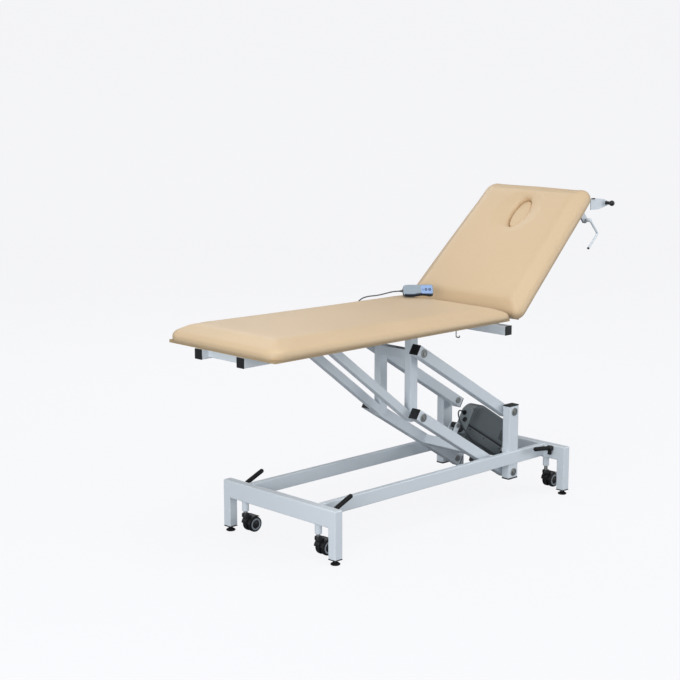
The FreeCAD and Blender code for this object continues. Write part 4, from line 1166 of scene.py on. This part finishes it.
def make_back_frame():
    rails = Piece("back_rails", "backrest", "white_paint", ("back_frame",))
    for side in SIDES:
        def span(a, b):
            return sorted((side * a, side * b))
        y0, y1 = span(152, 177)
        rails.add(block((-12, y0, -6), (668, y1, 19), 2.5), BACK)
        y0, y1 = span(17, 21)
        cheek = [(326, -5), (364, -5), (364, -28)] + arc(352, -27, 12, 0, -90, 6) \
            + arc(338, -27, 12, -90, -180, 6)
        rails.add(prism(cheek, "Y", y0, y1, 0.8, 2), BACK)
        for x in (60, 85, 330, 355, 640, 665):
            rails.add(weld((x, side * 151.8, -4), (x, side * 151.8, 17), 2.0), BACK)
    for x in (60, 330, 640):
        rails.add(block((x, -153, -6), (x + 25, 153, 19), 2.5), BACK)
    rails.make()

    arms = Piece("roll_arms", "backrest", "white_paint", ("roll_brackets",))
    roll = BACK @ Matrix.Translation((693, 0, -6)) @ Matrix.Rotation(math.radians(42), 4, "Y")
    for side in SIDES:
        y0, y1 = sorted((side * 262, side * 266))
        plate = ([(0, -24), (60, -24)] + arc(112, -2, 14, -60, 60, 8) + [(96, 18), (50, 24), (0, 24)])
        arms.add(prism(plate, "Y", y0, y1, 0.8, 2), roll)
        arms.add(tube(*sorted((side * 258.5, side * 270)), 8.5, 5.3, 0.8, "Y", (112, 0, 0)), roll,
                 "black_plastic")
        y0, y1 = sorted((side * 246, side * 262))
        arms.add(block((653, y0, 9), (705, y1, 19), 1.5, 2), BACK)
        arms.add(weld((655, side * 262.4, 9.4), (703, side * 262.4, 9.4), 2.0), BACK)
        arms.add(prism(oval_box(6, 30, *sorted((side * 258, side * 270)), 5.8), "Z", 23, 27, 1.2, 2),
                 roll, "black_plastic")
    y0, y1 = -262, -250
    holder = [(613, 19), (613, -40)] + arc(627, -36, 14, 180, 360, 10) + [(641, 19)]
    arms.add(prism(holder, "Y", y0, y1, 1.0, 2), BACK)
    arms.make()

    spindle = Piece("roll_bar", "roll_spindle", "chromed_rod", ("roll_spindle",))
    x, z = 693 + math.cos(math.radians(42)) * 112, -6 - math.sin(math.radians(42)) * 112
    spindle.add(drum(5, -288, 288, 0.5, "Y", (x, 0, z), 28), BACK)
    for side in SIDES:
        spindle.add(drum(8, *sorted((side * 254, side * 257.5)), 1.0, "Y", (x, 0, z)), BACK,
                    "black_plastic")
        knob = [(0, 309.5)] + [(12.5 * math.sin(math.radians(a)), 297 + 12.5 * math.cos(math.radians(a)))
                               for a in range(12, 140, 10)] + [(7.6, 286), (7.6, 272.5), (6.8, 271),
                                                               (0, 271)]
        spindle.add(lathe([(r, side * a) for r, a in knob], "Y", (x, 0, z), 40), BACK,
                    "black_plastic")
    spindle.make()

    lever = Piece("release_bar", "release_lever", "white_paint", ("release_lever",))
    lever.add(wire([(627, -286, -34), (627, -286, -120), (541, -286, -120)], 5.0, 20,
                   round_off=14), BACK)
    lever.add(drum(6, -290, -244.5, 0.6, "Y", (627, 0, -34), 28), BACK, "zinc")
    lever.add(drum(8.0, -291, -272, 1.6, "Y", (627, 0, -34), 36), BACK)
    lever.add(drum(5.6, 536, 541.5, 1.5, "X", (0, -286, -120), 28), BACK, "black_plastic")
    lever.make()


def make_gas_spring():
    x1 = 466 + math.cos(math.radians(BACK_TURN)) * 350 + math.sin(math.radians(BACK_TURN)) * 30
    z1 = 806 + math.sin(math.radians(BACK_TURN)) * 350 - math.cos(math.radians(BACK_TURN)) * 30
    reach = math.hypot(x1 - 492, z1 - 758)
    tilt = math.degrees(math.atan2(z1 - 758, x1 - 492))
    place = turned(492, 0, 758, (-tilt, "Y"))
    barrel = Piece("spring_barrel", "gas_spring_cylinder", "black_metal", ("gas_spring_cylinder",))
    barrel.add(lathe([(0, 8), (6, 8), (6, 22), (7.5, 24), (11, 27), (12, 30), (12, 284),
                      (11, 287), (8.5, 289.5), (5.3, 290), (5.3, 280)], "X", seg=40), place)
    barrel.add(lathe([(12.05, 262), (12.3, 262.6), (12.3, 263.4), (12.05, 264)], "X", seg=40), place)
    barrel.add(tube(-8, 8, 11, 5.2, 1.0, "Y"), place)
    barrel.make()
    rod = Piece("spring_rod", "gas_spring_rod", "chromed_rod", ("gas_spring_rod",))
    rod.add(drum(5, 60, reach - 14, 0.5, "X", seg=32), place)
    rod.add(hexagon(12, reach - 22, reach - 9, "X", (0, 0, 0), 1), place, "zinc")
    rod.add(tube(-8, 8, 11, 4.5, 1.2, "Y", (reach, 0, 0)), place, "black_metal")
    rod.add(drum(4.6, -16, 16, 0.5, "Y", (reach, 0, 0), 24), place, "zinc")
    rod.make()


# ---------------------------------------------------------------- handset

LEAN = 34.0
HANDSET = turned(296, 128, 884.9 + 24 * math.sin(math.radians(LEAN)), (-37.9, "Z"), (-LEAN, "X"))


def make_handset():
    body = Piece("handset_shell", "upper_frame", "handset_grey", ("handset_body",))
    # its lower edge dips and swells, so that it sits in the hand
    low = [(-60, 2.5), (-44, 0.6), (-20, 0.4), (2, 4.0), (18, 6.0), (34, 4.0), (50, 0.8), (62, 1.2)]
    outline = low + [(65.6, 5), (66, 12), (66, 40), (64, 47), (58, 49.8), (-54, 49.8), (-63, 46),
                     (-66, 38), (-66, 12), (-64.5, 6)]
    body.add(prism(outline, "Y", 0.2, 11.6, 2.6, 3), HANDSET)
    inner = [(x * 0.985, 25 + (z - 25) * 0.96) for x, z in outline]
    body.add(prism(inner, "Y", 10.5, 13.5, 0), HANDSET, "handset_navy")
    body.add(prism(outline, "Y", 12.4, 23.8, 4.0, 3), HANDSET, "handset_navy")
    # a navy strip along the lower edge of the front face
    rim = [(x, z - 0.3) for x, z in low] + [(x, z + 4.5) for x, z in low[::-1]]
    body.add(prism(rim, "Y", -0.4, 10, 0.6, 2), HANDSET, "handset_navy")
    body.add(prism(oval_box(12, 62, 6, 45, 6), "Y", -0.5, 1.4, 0.5, 2), HANDSET, "key_panel")
    body.add(drum(3.6, -1.1, 1.0, 0.5, "Y", (21, 0, 25), 28), HANDSET, "button_blue")
    body.add(drum(2.5, -1.3, 1.0, 0.4, "Y", (21, 0, 25), 28), HANDSET, "key_panel")
    body.add(lathe([(5.6, -64), (5.6, -69), (5.0, -70), (4.8, -73), (4.2, -74), (4.1, -77),
                    (3.5, -78), (3.3, -81), (2.9, -81), (2.9, -64)], "X", (0, 12, 25), 28),
             HANDSET, "cable_grey")
    body.make()
    for label, x, way in (("up_button", 34.0, 1), ("down_button", 50.0, -1)):
        key = Piece(f"{label}_key", label, "button_blue", (label,))
        key.add(drum(5.9, -2.2, 5, 0.9, "Y", (x, 0, 25), 32), HANDSET)
        tip = [(x - 3.2, 25 - way * 1.9), (x + 3.2, 25 - way * 1.9), (x, 25 + way * 3.4)]
        if way < 0:
            tip = tip[::-1]
        key.add(prism(tip, "Y", -2.7, -1.8, 0.2, 1), HANDSET, "key_panel")
        key.make()


# ---------------------------------------------------------------- make everything

make_camera()
make_stage()
make_lights()
make_cable()
make_drive_cable()
make_base()
for corner in CORNERS:
    make_castor(*corner)
    make_lever(*corner)
    make_foot(*corner)
make_arms()
make_actuator()
make_upper_frame()
make_seat_pad()
make_back_pads()
make_back_frame()
make_gas_spring()
make_handset()

seat_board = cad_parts["seat_board"]
back_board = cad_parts["back_board"]
for board, made in ((seat_board, make_board("seat_ply", COUCH, 659, 308, 308, -271)),
                    (back_board, make_board("back_ply", BACK, 353, 300, 266, 355.5))):
    board.data.materials.clear()
    board.data.materials.append(made)
